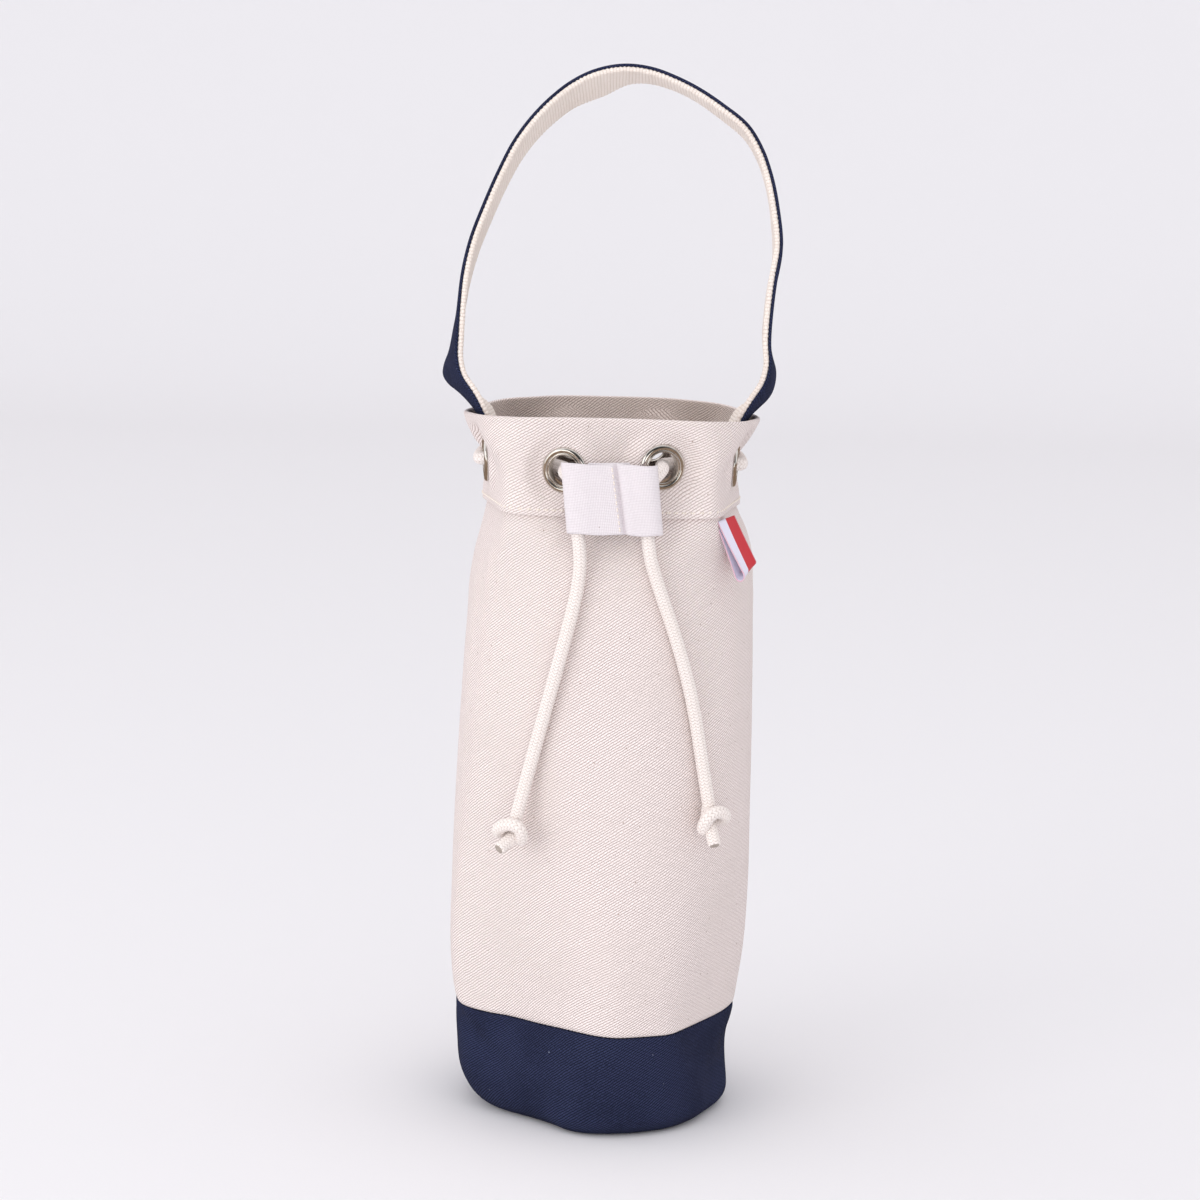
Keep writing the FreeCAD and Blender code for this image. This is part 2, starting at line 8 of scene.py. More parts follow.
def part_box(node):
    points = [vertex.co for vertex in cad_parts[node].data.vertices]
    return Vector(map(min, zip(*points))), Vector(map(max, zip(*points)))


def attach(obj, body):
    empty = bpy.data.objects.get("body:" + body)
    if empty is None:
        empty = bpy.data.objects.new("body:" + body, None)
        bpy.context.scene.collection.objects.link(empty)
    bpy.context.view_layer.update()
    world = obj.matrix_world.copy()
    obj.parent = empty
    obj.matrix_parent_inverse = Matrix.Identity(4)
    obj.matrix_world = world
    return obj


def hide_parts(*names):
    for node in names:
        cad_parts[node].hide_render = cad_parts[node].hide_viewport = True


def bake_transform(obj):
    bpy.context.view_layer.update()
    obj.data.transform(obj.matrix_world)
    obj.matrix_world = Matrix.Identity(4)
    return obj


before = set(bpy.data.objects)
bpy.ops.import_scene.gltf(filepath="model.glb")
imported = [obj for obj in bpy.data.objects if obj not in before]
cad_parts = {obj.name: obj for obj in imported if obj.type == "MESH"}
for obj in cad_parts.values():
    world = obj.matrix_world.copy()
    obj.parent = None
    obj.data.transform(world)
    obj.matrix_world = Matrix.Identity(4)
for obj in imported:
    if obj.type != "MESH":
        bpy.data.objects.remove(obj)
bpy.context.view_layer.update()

# Looks of the canvas drawstring bottle carrier. Lengths are millimetres until a mesh is made.
# Azimuth is in degrees from the front (-Y) towards +X, as seen from above.
MM = 0.001
TURN = 2 * math.pi


def corner(node, which):
    """Lowest (0) or highest (1) corner of a node, in mm."""
    return np.array(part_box(node)[which]) / MM


# Sizes that come from the frame
RIM_HEIGHT = corner("collar_band", 1)[2]
HEM_HEIGHT = corner("collar_band", 0)[2]
FOOT_SEAM = corner("body_panel", 0)[2]
EYELET_HEIGHT = (corner("eyelet_1", 0)[2] + corner("eyelet_1", 1)[2]) / 2
STOP_BOTTOM = corner("cord_stop_sleeve", 0)[2]
STOP_TOP = corner("cord_stop_sleeve", 1)[2]
STOP_BACK = corner("cord_stop_sleeve", 1)[1]

# Sizes that repeat those of the solids
STRAP_WIDTH = 25.0
HANDLE_AXIS = 298.8
CORD_RADIUS = 2.6
CANVAS = 1.0

# Cloth
COLLAR_LIFT = 1.1         # collar's outside over the body's outside
CLOTH_ROUND = 370.0       # cloth's length round the bag
COLUMNS = 336

# Bag wall by height: half-width of the section, how square it is (2 is round), sideways sway
HALF_WIDTH = [
    (0, 55.2), (8, 55.6), (24, 55.9), (41.5, 57.4), (62, 59.8), (95, 60.4), (125, 60.0), (156, 59.3),
    (187, 58.4), (210, 57.6), (225, 57.8), (238, 59.6), (248.5, 61.4), (266.5, 62.2), (286, 62.0),
]
SQUARENESS = [(0, 2.1), (60, 2.05), (150, 2.1), (286, 2.0)]
SWAY = [(0, -1.4), (45, -1.2), (95, 0), (160, 0.3), (215, 1.3), (245, 1.2), (266, 0.5), (286, 0.6)]

# Flat sides: azimuth of the flat, softness of its edges, and its distance from the axis by height.
# Two near the foot, then those of the drawn-in mouth.
NECK_FRONT = [
    (0, 90), (190, 66), (215, 58.6), (228, 56.0), (238, 53.0), (248.5, 49.8), (257, 48.9),
    (266.5, 48.9), (274, 49.5), (280, 50.4), (286, 51.6),
]
NECK_BACK = [
    (0, 90), (190, 66), (215, 58.8), (228, 56.2), (238, 53.2), (248.5, 49.6), (257, 48.6),
    (266.5, 48.9), (274, 51.3), (280, 54.0), (286, 56.8),
]
NECK_LEFT = [
    (0, 90), (190, 66), (215, 58.4), (228, 55.0), (238, 52.4), (248.5, 50.3), (257, 50.8),
    (266.5, 51.8), (274, 55.4), (280, 57.0), (286, 58.2),
]
NECK_RIGHT = [
    (0, 90), (190, 66), (215, 58.3), (228, 56.2), (238, 53.2), (248.5, 49.0), (257, 49.4),
    (266.5, 50.2), (274, 53.6), (280, 55.8), (286, 57.6),
]
FLATS = [
    (-35, 7.0, [(0, 50), (8, 48.5), (41.5, 45), (80, 50.5), (120, 57), (165, 64), (286, 80)]),
    (60, 7.0, [(0, 55), (41.5, 53.5), (80, 57), (120, 62), (165, 66), (286, 80)]),
    (0, 3.5, NECK_FRONT),
    (-76, 3.5, NECK_LEFT),
    (77, 3.5, NECK_RIGHT),
    (-106, 5.0, NECK_LEFT),
    (106, 5.0, NECK_RIGHT),
    (180, 5.0, NECK_BACK),
]

# Soft creases: both ends as (azimuth, height), width, and depth inward
CREASES = [
    ((-100, -1), (-26, -1), 11.0, 9.0),
    ((-88, 42), (-50, 23), 4.0, 2.6),
    ((-58, 33), (-32, 22), 7.0, -1.4),
    ((-52, 38), (-6, 37), 5.0, 1.6),
    ((88, 24), (70, 18), 9.0, 3.2),
    ((32, 40), (55, 8), 6.0, -1.2),
    ((-66, 243), (-62, 176), 5.0, 1.1),
    ((-46, 247), (-40, 205), 5.0, -0.9),
    ((47, 247), (42, 210), 6.0, -0.8),
    ((-17, 246), (-22, 214), 5.5, 1.2),
    ((22, 246), (27, 222), 5.0, 0.8),
    ((66, 243), (63, 190), 6.0, 0.9),
    ((-147, 288), (-150, 250), 6.0, 2.2),
    ((150, 288), (152, 252), 7.0, 1.8),
    ((120, 245), (124, 180), 6.0, 1.0),
    ((-118, 245), (-122, 190), 6.0, 1.0),
    ((-90, 268), (-90, 265), 10.0, 3.6),
    ((90, 268), (90, 265), 10.0, 3.4),
    ((180, 268), (180, 265), 9.0, 1.6),
    ((180, 44), (180, 246), 1.0, 0.5),
]
DEGREE = 58 * TURN / 360   # mm of cloth for a degree of azimuth
RIM_DROOP = 2.6            # the rim hangs lower at the strap's feet
HEM_DROOP = 1.3            # the collar's lower edge hangs lower in front

# Eyelets: azimuth and way of facing of each, counted from the left front one round the back
EYELET_PLACES = [-20.5, -67.5, -112.5, -161.0, -199.0, -247.5, -292.5, -338.5]
EYELET_FACES = [-19, -85, -95, -166, -194, -265, -275, -341]
EYELET_RAISE = [-0.8, 0, 0, 0, 0, 0, 0, 1.2]
EYELET_TILT = math.radians(4)
HOLE_RADIUS = 6.8


def smooth_through(points, at):
    """Values of a smooth curve through given (place, value) points."""
    places, values = np.array(points, float).T
    slopes = np.gradient(values, places)
    at = np.clip(at, places[0], places[-1])
    i = np.clip(np.searchsorted(places, at) - 1, 0, len(places) - 2)
    step = places[i + 1] - places[i]
    t = (at - places[i]) / step
    start = (1 - t) ** 2 * ((1 + 2 * t) * values[i] + t * step * slopes[i])
    end = t ** 2 * ((3 - 2 * t) * values[i + 1] + (t - 1) * step * slopes[i + 1])
    return start + end


def ease(low, high, at):
    """0 up to low, 1 from high, smooth between."""
    t = np.clip((at - low) / (high - low), 0, 1)
    return t * t * (3 - 2 * t)


def crease_depth(azimuth, height):
    """How far the creases draw the cloth inward."""
    total = 0.0
    for (first_azimuth, first_height), (last_azimuth, last_height), width, depth in CREASES:
        side = ((azimuth - first_azimuth + 180) % 360 - 180) * DEGREE
        rise = height - first_height
        run = np.array([(last_azimuth - first_azimuth) * DEGREE, last_height - first_height])
        share = np.clip((side * run[0] + rise * run[1]) / (run @ run), 0, 1)
        away = (side - share * run[0]) ** 2 + (rise - share * run[1]) ** 2
        total = total + depth * (1 - 0.5 * share) * np.exp(-away / width ** 2)
    return total


def ripple(azimuth, height):
    """Gentle unevenness of hand-sewn cloth, the same at every run."""
    chance = np.random.default_rng(11)
    total = 0.0
    for _ in range(14):
        waves = chance.integers(2, 12)
        tilt = chance.normal(0, 0.05)
        phase = chance.uniform(0, TURN)
        total = total + np.cos(waves * np.radians(azimuth) + tilt * height + phase) / math.sqrt(waves)
    return 0.2 * total


def bag_wall(azimuth, height):
    """Places of the body's outside."""
    angle = np.radians(azimuth)
    half = smooth_through(HALF_WIDTH, height)
    power = smooth_through(SQUARENESS, height)
    sides = np.abs(np.sin(angle)) ** power + np.abs(np.cos(angle)) ** power
    reach = half / sides ** (1 / power)
    for flat_azimuth, softness, distances in FLATS:
        flat = smooth_through(distances, height) / np.maximum(np.cos(np.radians(azimuth - flat_azimuth)), 0.2)
        share = np.clip(0.5 + (flat - reach) / (2 * softness), 0, 1)
        reach = flat + (reach - flat) * share - softness * share * (1 - share)
    reach = reach - crease_depth(azimuth, height) + ripple(azimuth, height)
    droop = RIM_DROOP * np.abs(np.sin(angle)) ** 3 * ease(262, RIM_HEIGHT, height)
    near_hem = np.exp(-((height - HEM_HEIGHT) / 14) ** 2)
    droop = droop + HEM_DROOP * np.maximum(np.cos(angle), 0) ** 2 * near_hem
    across = reach * np.sin(angle) + smooth_through(SWAY, height)
    return np.stack([across, -reach * np.cos(angle), height - droop], axis=-1)


def bag_place(azimuth, height, lift):
    """Places at a distance outside the body's outside, square to its level section."""
    azimuth, height, lift = np.broadcast_arrays(azimuth, height, lift)
    run = bag_wall(azimuth + 0.5, height) - bag_wall(azimuth - 0.5, height)
    outward = np.stack([run[..., 1], -run[..., 0], np.zeros(run.shape[:-1])], axis=-1)
    outward = outward / np.linalg.norm(outward, axis=-1, keepdims=True)
    return bag_wall(azimuth, height) + outward * lift[..., None]


def facing(azimuth):
    """Level direction at an azimuth."""
    return np.array([math.sin(math.radians(azimuth)), -math.cos(math.radians(azimuth)), 0.0])


def eyelet_seat(number):
    """Centre of an eyelet on the collar's outside, and its outward, sideways and upward directions."""
    height = EYELET_HEIGHT + EYELET_RAISE[number]
    centre = bag_place(EYELET_PLACES[number], height, COLLAR_LIFT)
    level = facing(EYELET_FACES[number])
    outward = level * math.cos(EYELET_TILT) - np.array([0, 0, math.sin(EYELET_TILT)])
    sideways = np.array([-level[1], level[0], 0.0])
    return centre, outward, sideways, np.cross(outward, sideways)


SEATS = [eyelet_seat(number) for number in range(8)]


def flat_at_eyelets(places, lift):
    """Cloth laid flat round each eyelet."""
    for centre, outward, _, _ in SEATS:
        arm = places - centre
        height = arm @ outward
        away = np.linalg.norm(arm - height[..., None] * outward, axis=-1)
        share = (1 - ease(9.5, 15.5, away)) * (np.abs(height) < 12)
        places = places - outward * ((height - (lift - COLLAR_LIFT)) * share)[..., None]
    return places


# Mesh helpers

def new_piece(name, places, faces, cloth, finish):
    """Mesh object from places in mm, faces, and a place on the cloth for each face corner."""
    mesh = bpy.data.meshes.new(name)
    mesh.from_pydata((np.asarray(places) * MM).tolist(), [], [list(face) for face in faces])
    layer = mesh.uv_layers.new(name="cloth")
    layer.data.foreach_set("uv", np.asarray(cloth, np.float32).ravel())
    mesh.polygons.foreach_set("use_smooth", np.ones(len(mesh.polygons), bool))
    mesh.materials.append(finish)
    piece = bpy.data.objects.new(name, mesh)
    bpy.context.scene.collection.objects.link(piece)
    return piece


def grid_faces(rows, columns, closed=True, rows_closed=False):
    """Quads of a grid, as corner numbers, with the row and column of each corner's cloth place."""
    row_spans = rows if rows_closed else rows - 1
    column_spans = columns if closed else columns - 1
    row, column = np.meshgrid(np.arange(row_spans), np.arange(column_spans), indexing="ij")
    row_corners = np.stack([row, row, row + 1, row + 1], -1).reshape(-1, 4)
    column_corners = np.stack([column, column + 1, column + 1, column], -1).reshape(-1, 4)
    return row_corners % rows * columns + column_corners % columns, row_corners, column_corners


def grid_piece(name, places, across, along, finish, closed=True):
    """Mesh of a grid of places; across and along are cloth lengths by column and by row."""
    rows, columns = places.shape[:2]
    faces, row_corners, column_corners = grid_faces(rows, columns, closed)
    cloth = np.stack([np.asarray(across)[column_corners], np.asarray(along)[row_corners]], -1)
    return new_piece(name, places.reshape(-1, 3), faces, cloth.reshape(-1, 2), finish)


def thicken(piece, thickness):
    """Give a sheet its cloth thickness, inward from the outside that was drawn."""
    solid = piece.modifiers.new("cloth thickness", "SOLIDIFY")
    solid.thickness = thickness * MM
    solid.offset = -1
    solid.material_offset = 1
    return piece


def path_lengths(points):
    """Length along a chain of points at each point."""
    steps = np.linalg.norm(np.diff(points, axis=0), axis=1)
    return np.concatenate([[0.0], np.cumsum(steps)])


def evenly(points, spacing):
    """The same line with even spacing."""
    lengths = path_lengths(points)
    count = max(int(lengths[-1] / spacing), 4)
    marks = np.linspace(0, lengths[-1], count + 1)
    return np.stack([np.interp(marks, lengths, points[:, axis]) for axis in range(3)], axis=1)


def without_holes(places, faces):
    """Faces outside the eyelet holes, with the holes' edges drawn to circles, and the places still used."""
    places = places.copy()
    keep = np.ones(len(faces), bool)
    edge_of = np.full(len(places), -1)
    for number, (centre, outward, _, _) in enumerate(SEATS):
        arm = places - centre
        height = arm @ outward
        away = np.linalg.norm(arm - height[:, None] * outward, axis=1)
        inside = (away < HOLE_RADIUS) & (np.abs(height) < 8)
        cut = inside[faces].any(axis=1)
        keep &= ~cut
        edge_of[faces[cut].ravel()] = number
    for number, (centre, outward, _, _) in enumerate(SEATS):
        edge = np.flatnonzero(edge_of == number)
        arm = places[edge] - centre
        height = (arm @ outward)[:, None] * outward
        level = arm - height
        level = level / np.maximum(np.linalg.norm(level, axis=1, keepdims=True), 1e-6)
        places[edge] = centre + height + level * HOLE_RADIUS
    used = np.unique(faces[keep])
    renumber = np.full(len(places), -1)
    renumber[used] = np.arange(len(used))
    return places[used], renumber[faces[keep]], keep


def bag_cloth(name, path, finishes, holes=False, inside_from=None):
    """Cloth round the bag: rows follow a path of (height, lift), columns go round.

    The first finish is the outside's, the last the inside's, which a fold shows from a row on.
    """
    path = np.array(path, float)
    azimuth = np.linspace(180, 540, COLUMNS, endpoint=False)[None, :]
    lift = np.broadcast_to(path[:, 1:], (len(path), COLUMNS))
    places = flat_at_eyelets(bag_place(azimuth, path[:, :1], path[:, 1:]), lift)
    across = np.linspace(0, CLOTH_ROUND, COLUMNS + 1)
    along = path_lengths(path) + path[0, 0]
    faces, row_corners, column_corners = grid_faces(len(path), COLUMNS)
    cloth = np.stack([across[column_corners], along[row_corners]], -1)
    shown = (row_corners[:, 0] >= (inside_from or len(path))).astype(int)
    places = places.reshape(-1, 3)
    if holes:
        places, faces, keep = without_holes(places, faces)
        cloth = cloth[keep]
        shown = shown[keep]
    piece = new_piece(name, places, faces, cloth.reshape(-1, 2), finishes[0])
    for finish in finishes[1:]:
        piece.data.materials.append(finish)
    piece.data.polygons.foreach_set("material_index", shown)
    return thicken(piece, CANVAS)


def rise(low, high, step):
    """Even heights from low to high."""
    return np.linspace(low, high, max(int(round((high - low) / step)), 1) + 1)


def half_round(height, lift, radius, start, end, steps=8):
    """Path along an arc about (height, lift); angles in degrees, 0 outward and 90 upward."""
    angles = np.radians(np.linspace(start, end, steps + 1))
    return [(height + radius * math.sin(a), lift + radius * math.cos(a)) for a in angles]


# Materials

class Nodes:
    """Short way to place and join nodes in a tree."""

    def __init__(self, tree):
        self.tree = tree

    def add(self, kind, **settings):
        node = self.tree.nodes.new(kind)
        for setting, value in settings.items():
            setattr(node, setting, value)
        return node

    def join(self, source, socket):
        if isinstance(source, (int, float)):
            socket.default_value = source
        else:
            self.tree.links.new(source, socket)

    def math(self, operation, first, second=0.0, third=0.0, clamp=False):
        node = self.add("ShaderNodeMath", operation=operation, use_clamp=clamp)
        for source, socket in zip((first, second, third), node.inputs):
            self.join(source, socket)
        return node.outputs[0]

    def spread(self, value, low, high, start=0.0, end=1.0):
        node = self.add("ShaderNodeMapRange", interpolation_type="SMOOTHSTEP")
        for source, socket in zip((value, low, high, start, end), node.inputs):
            self.join(source, socket)
        return node.outputs[0]

    def mix(self, share, first, second):
        """Colour between two colours."""
        node = self.add("ShaderNodeMix", data_type="RGBA")
        self.join(share, node.inputs[0])
        for source, socket in zip((first, second), node.inputs[6:8]):
            if isinstance(source, tuple):
                socket.default_value = source
            else:
                self.tree.links.new(source, socket)
        return node.outputs[2]

    def noise(self, place, scale, detail=3.0):
        node = self.add("ShaderNodeTexNoise")
        self.tree.links.new(place, node.inputs["Vector"])
        node.inputs["Scale"].default_value = scale
        node.inputs["Detail"].default_value = detail
        return node.outputs[0]


def effect(name, inputs, outputs):
    """Empty node group with named sockets; inputs are (name, kind, value)."""
    tree = bpy.data.node_groups.new(name, "ShaderNodeTree")
    for socket_name, kind, value in inputs:
        socket = tree.interface.new_socket(socket_name, in_out="INPUT", socket_type=kind)
        if value is not None:
            socket.default_value = value
    for socket_name in outputs:
        tree.interface.new_socket(socket_name, in_out="OUTPUT", socket_type="NodeSocketFloat")
    kit = Nodes(tree)
    return tree, kit, kit.add("NodeGroupInput").outputs, kit.add("NodeGroupOutput").inputs


def split_cloth(kit, place):
    """Across and along, in mm of cloth."""
    node = kit.add("ShaderNodeSeparateXYZ")
    kit.join(place, node.inputs[0])
    return node.outputs[0], node.outputs[1]


def make_twill_weave():
    """Slanting ribs broken into yarn floats."""
    tree, kit, given, made = effect("twill_weave", [
        ("Cloth", "NodeSocketVector", None),
        ("Rib pitch", "NodeSocketFloat", 0.95),
        ("Float length", "NodeSocketFloat", 1.7),
        ("Slant", "NodeSocketFloat", math.radians(33)),
    ], ["Height", "Groove"])
    across, along = split_cloth(kit, given["Cloth"])
    wander = kit.math("SUBTRACT", kit.noise(given["Cloth"], 0.22, 2.0), 0.5)
    sine = kit.math("SINE", given["Slant"])
    cosine = kit.math("COSINE", given["Slant"])
    square = kit.math("SUBTRACT", kit.math("MULTIPLY", along, cosine), kit.math("MULTIPLY", across, sine))
    down = kit.math("ADD", kit.math("MULTIPLY", across, cosine), kit.math("MULTIPLY", along, sine))
    square = kit.math("MULTIPLY_ADD", wander, 0.9, square)
    ribs = kit.math("DIVIDE", square, given["Rib pitch"])
    rib = kit.math("ABSOLUTE", kit.math("SINE", kit.math("MULTIPLY", ribs, math.pi)))
    rib = kit.math("POWER", rib, 0.7)
    step = kit.math("MULTIPLY", kit.math("FLOOR", ribs), 0.37)
    floats = kit.math("ADD", kit.math("DIVIDE", down, given["Float length"]), step)
    yarn = kit.math("ABSOLUTE", kit.math("SINE", kit.math("MULTIPLY", floats, math.pi)))
    yarn = kit.spread(yarn, 0.0, 0.6, 0.55, 1.0)
    height = kit.math("MULTIPLY", rib, yarn)
    kit.join(height, made["Height"])
    kit.join(kit.math("SUBTRACT", 1.0, height), made["Groove"])
    return tree


def make_plain_weave():
    """One-over-one weave of fine yarns."""
    tree, kit, given, made = effect("plain_weave", [
        ("Cloth", "NodeSocketVector", None),
        ("Yarn pitch", "NodeSocketFloat", 0.6),
    ], ["Height", "Groove"])
    across, along = split_cloth(kit, given["Cloth"])
    waves = []
    for length in (across, along):
        turns = kit.math("DIVIDE", length, given["Yarn pitch"])
        waves.append(kit.math("SINE", kit.math("MULTIPLY", turns, math.pi)))
    check = kit.math("MULTIPLY", waves[0], waves[1])
    hill = kit.math("ABSOLUTE", check)
    uneven = kit.noise(given["Cloth"], 0.9, 3.0)
    height = kit.math("MULTIPLY", kit.math("POWER", hill, 0.6), kit.math("ADD", uneven, 0.4))
    kit.join(height, made["Height"])
    kit.join(kit.math("SUBTRACT", 1.0, height, clamp=True), made["Groove"])
    return tree


def make_cotton_flecks():
    """Sparse specks of seed husk or lint."""
    tree, kit, given, made = effect("cotton_flecks", [
        ("Cloth", "NodeSocketVector", None),
        ("Spacing", "NodeSocketFloat", 8.0),
        ("Speck radius", "NodeSocketFloat", 0.3),
        ("Share", "NodeSocketFloat", 0.5),
    ], ["Speck"])
    cells = kit.add("ShaderNodeTexVoronoi", voronoi_dimensions="2D")
    kit.join(given["Cloth"], cells.inputs["Vector"])
    kit.join(kit.math("DIVIDE", 1.0, given["Spacing"]), cells.inputs["Scale"])
    away = kit.math("MULTIPLY", cells.outputs["Distance"], given["Spacing"])
    pick = kit.add("ShaderNodeSeparateColor")
    kit.join(cells.outputs["Color"], pick.inputs[0])
    size = kit.math("MULTIPLY", given["Speck radius"], kit.math("ADD", pick.outputs[1], 0.5))
    inside = kit.spread(kit.math("DIVIDE", away, size), 0.7, 1.1, 1.0, 0.0)
    chosen = kit.math("LESS_THAN", pick.outputs[0], given["Share"])
    kit.join(kit.math("MULTIPLY", inside, chosen), made["Speck"])
    return tree


def make_soft_mottle():
    """Broad, faint unevenness of colour."""
    tree, kit, given, made = effect("soft_mottle", [
        ("Cloth", "NodeSocketVector", None),
        ("Fine", "NodeSocketFloat", 0.5),
    ], ["Mottle"])
    broad = kit.noise(given["Cloth"], 0.035, 4.0)
    fine = kit.noise(given["Cloth"], 0.7, 2.0)
    share = kit.math("MULTIPLY", kit.math("SUBTRACT", fine, 0.5), given["Fine"])
    kit.join(kit.math("ADD", broad, share), made["Mottle"])
    return tree


def make_cord_knit():
    """Chevron columns of a knitted cord; the cloth place is (round the cord, along it)."""
    tree, kit, given, made = effect("cord_knit", [
        ("Cloth", "NodeSocketVector", None),
        ("Column", "NodeSocketFloat", 2.04),
        ("Stitch", "NodeSocketFloat", 1.3),
    ], ["Height", "Groove"])
    around, along = split_cloth(kit, given["Cloth"])
    columns = kit.math("DIVIDE", around, given["Column"])
    lean = kit.math("ABSOLUTE", kit.math("SUBTRACT", kit.math("FRACT", columns), 0.5))
    stitches = kit.math("MULTIPLY_ADD", lean, 1.3, kit.math("DIVIDE", along, given["Stitch"]))
    loop = kit.math("ABSOLUTE", kit.math("SINE", kit.math("MULTIPLY", stitches, math.pi)))
    edge = kit.math("ABSOLUTE", kit.math("SINE", kit.math("MULTIPLY", columns, math.pi)))
    height = kit.math("MULTIPLY", kit.math("POWER", loop, 0.5), kit.spread(edge, 0.0, 0.5, 0.5, 1.0))
    kit.join(height, made["Height"])
    kit.join(kit.math("SUBTRACT", 1.0, height), made["Groove"])
    return tree


TWILL = make_twill_weave()
PLAIN = make_plain_weave()
FLECKS = make_cotton_flecks()
MOTTLE = make_soft_mottle()
KNIT = make_cord_knit()


def srgb(red, green, blue):
    """Colour from 0 to 255 values as they are seen."""
    parts = []
    for part in (red, green, blue):
        share = part / 255
        parts.append(share / 12.92 if share <= 0.04045 else ((share + 0.055) / 1.055) ** 2.4)
    return (*parts, 1.0)


def new_finish(name, roughness, sheen=0.0):
    """Material with its shader, and the place on the cloth in mm."""
    finish = bpy.data.materials.new(name)
    finish.use_nodes = True
    kit = Nodes(finish.node_tree)
    shader = finish.node_tree.nodes["Principled BSDF"]
    shader.inputs["Roughness"].default_value = roughness
    shader.inputs["Specular IOR Level"].default_value = 0.25
    shader.inputs["Sheen Weight"].default_value = sheen
    shader.inputs["Sheen Roughness"].default_value = 0.6
    place = kit.add("ShaderNodeUVMap", uv_map="cloth").outputs[0]
    return finish, kit, shader, place


def use_effect(kit, tree, place, **values):
    """Place a node group and set its inputs; spaces in names are written as underscores."""
    node = kit.add("ShaderNodeGroup", node_tree=tree)
    kit.join(place, node.inputs["Cloth"])
    for name, value in values.items():
        node.inputs[name.replace("_", " ")].default_value = value
    return node.outputs


def relief(kit, shader, height, depth, strength=1.0):
    """Bump of a depth in mm."""
    bump = kit.add("ShaderNodeBump")
    bump.inputs["Strength"].default_value = strength
    bump.inputs["Distance"].default_value = depth * MM
    kit.join(height, bump.inputs["Height"])
    kit.join(bump.outputs[0], shader.inputs["Normal"])


def twill_finish(name, ridge, shaded_groove, speck, speck_share, depth, mottle_tint, sheen):
    """Twill canvas: slanting ribs with painted shade in their grooves, faint mottle and sparse specks."""
    finish, kit, shader, place = new_finish(name, 0.92, sheen)
    shader.inputs["Specular IOR Level"].default_value = 0.1
    weave = use_effect(kit, TWILL, place)
    mottle = use_effect(kit, MOTTLE, place, Fine=0.6)["Mottle"]
    specks = use_effect(kit, FLECKS, place, Share=speck_share, Speck_radius=0.2, Spacing=6.0)["Speck"]
    # The grooves between the ribs take the darker colour: painted shade in the weave's recesses.
    colour = kit.mix(kit.spread(weave["Groove"], 0.15, 0.95), ridge, shaded_groove)
    colour = kit.mix(kit.spread(mottle, 0.35, 0.75, 0.0, 0.5), colour, mottle_tint)
    colour = kit.mix(specks, colour, speck)
    kit.join(colour, shader.inputs["Base Color"])
    relief(kit, shader, weave["Height"], depth)
    return finish


def natural_canvas_finish():
    return twill_finish(
        "natural_canvas", srgb(249, 238, 235), srgb(187, 168, 161), srgb(172, 152, 140), 0.25, 0.32,
        srgb(231, 219, 214), 0.06,
    )


def shaded_inside_canvas_finish():
    """Inner face of the natural canvas, coloured darker than its outside: painted shade for the bag's inside.
    """
    return twill_finish(
        "natural_canvas_inside_painted_shade", srgb(210, 196, 189), srgb(150, 132, 124), srgb(140, 120, 108), 0.25, 0.32,
        srgb(192, 176, 168), 0.05,
    )


def navy_canvas_finish():
    return twill_finish(
        "navy_canvas", srgb(52, 58, 88), srgb(3, 4, 10), srgb(150, 155, 175), 0.03, 0.32,
        srgb(24, 28, 48), 0.0,
    )


def stop_canvas_finish():
    """Smooth fine canvas of the cord stop."""
    finish, kit, shader, place = new_finish("stop_canvas", 0.9, 0.15)
    weave = use_effect(kit, PLAIN, place, Yarn_pitch=0.62)
    mottle = use_effect(kit, MOTTLE, place, Fine=0.8)["Mottle"]
    specks = use_effect(kit, FLECKS, place, Share=0.15, Speck_radius=0.2, Spacing=7.0)["Speck"]
    # Grooves between the yarns darker: painted shade in the weave's recesses.
    colour = kit.mix(kit.spread(weave["Groove"], 0.2, 1.0), srgb(242, 236, 239), srgb(216, 207, 210))
    colour = kit.mix(kit.spread(mottle, 0.35, 0.8, 0.0, 0.5), colour, srgb(236, 228, 231))
    colour = kit.mix(specks, colour, srgb(150, 132, 120))
    kit.join(colour, shader.inputs["Base Color"])
    relief(kit, shader, weave["Height"], 0.16)
    return finish


def webbing_finish():
    """Ribbed cotton webbing: ribs across the strap, finer yarns along it."""
    finish, kit, shader, place = new_finish("webbing", 0.92, 0.15)
    rib_pitch = 1.45
    across, along = split_cloth(kit, place)
    rib = kit.math("ABSOLUTE", kit.math("SINE", kit.math("MULTIPLY", along, math.pi / rib_pitch)))
    row = kit.math("FLOOR", kit.math("DIVIDE", along, rib_pitch))
    ends = kit.math("ADD", kit.math("DIVIDE", across, 1.3), kit.math("MULTIPLY", row, 0.5))
    yarn = kit.math("ABSOLUTE", kit.math("SINE", kit.math("MULTIPLY", ends, math.pi)))
    height = kit.math("MULTIPLY", kit.math("POWER", rib, 0.6), kit.spread(yarn, 0.0, 0.7, 0.5, 1.0))
    mottle = use_effect(kit, MOTTLE, place, Fine=0.8)["Mottle"]
    specks = use_effect(kit, FLECKS, place, Share=0.2, Speck_radius=0.22)["Speck"]
    # Low places of the ribs and yarns darker, their tops lighter: painted shade in the weave's recesses.
    colour = kit.mix(kit.spread(height, 0.1, 0.8), srgb(230, 216, 204), srgb(247, 237, 229))
    colour = kit.mix(kit.spread(mottle, 0.35, 0.8, 0.0, 0.5), colour, srgb(231, 217, 206))
    colour = kit.mix(specks, colour, srgb(160, 140, 122))
    kit.join(colour, shader.inputs["Base Color"])
    relief(kit, shader, height, 0.2)
    return finish


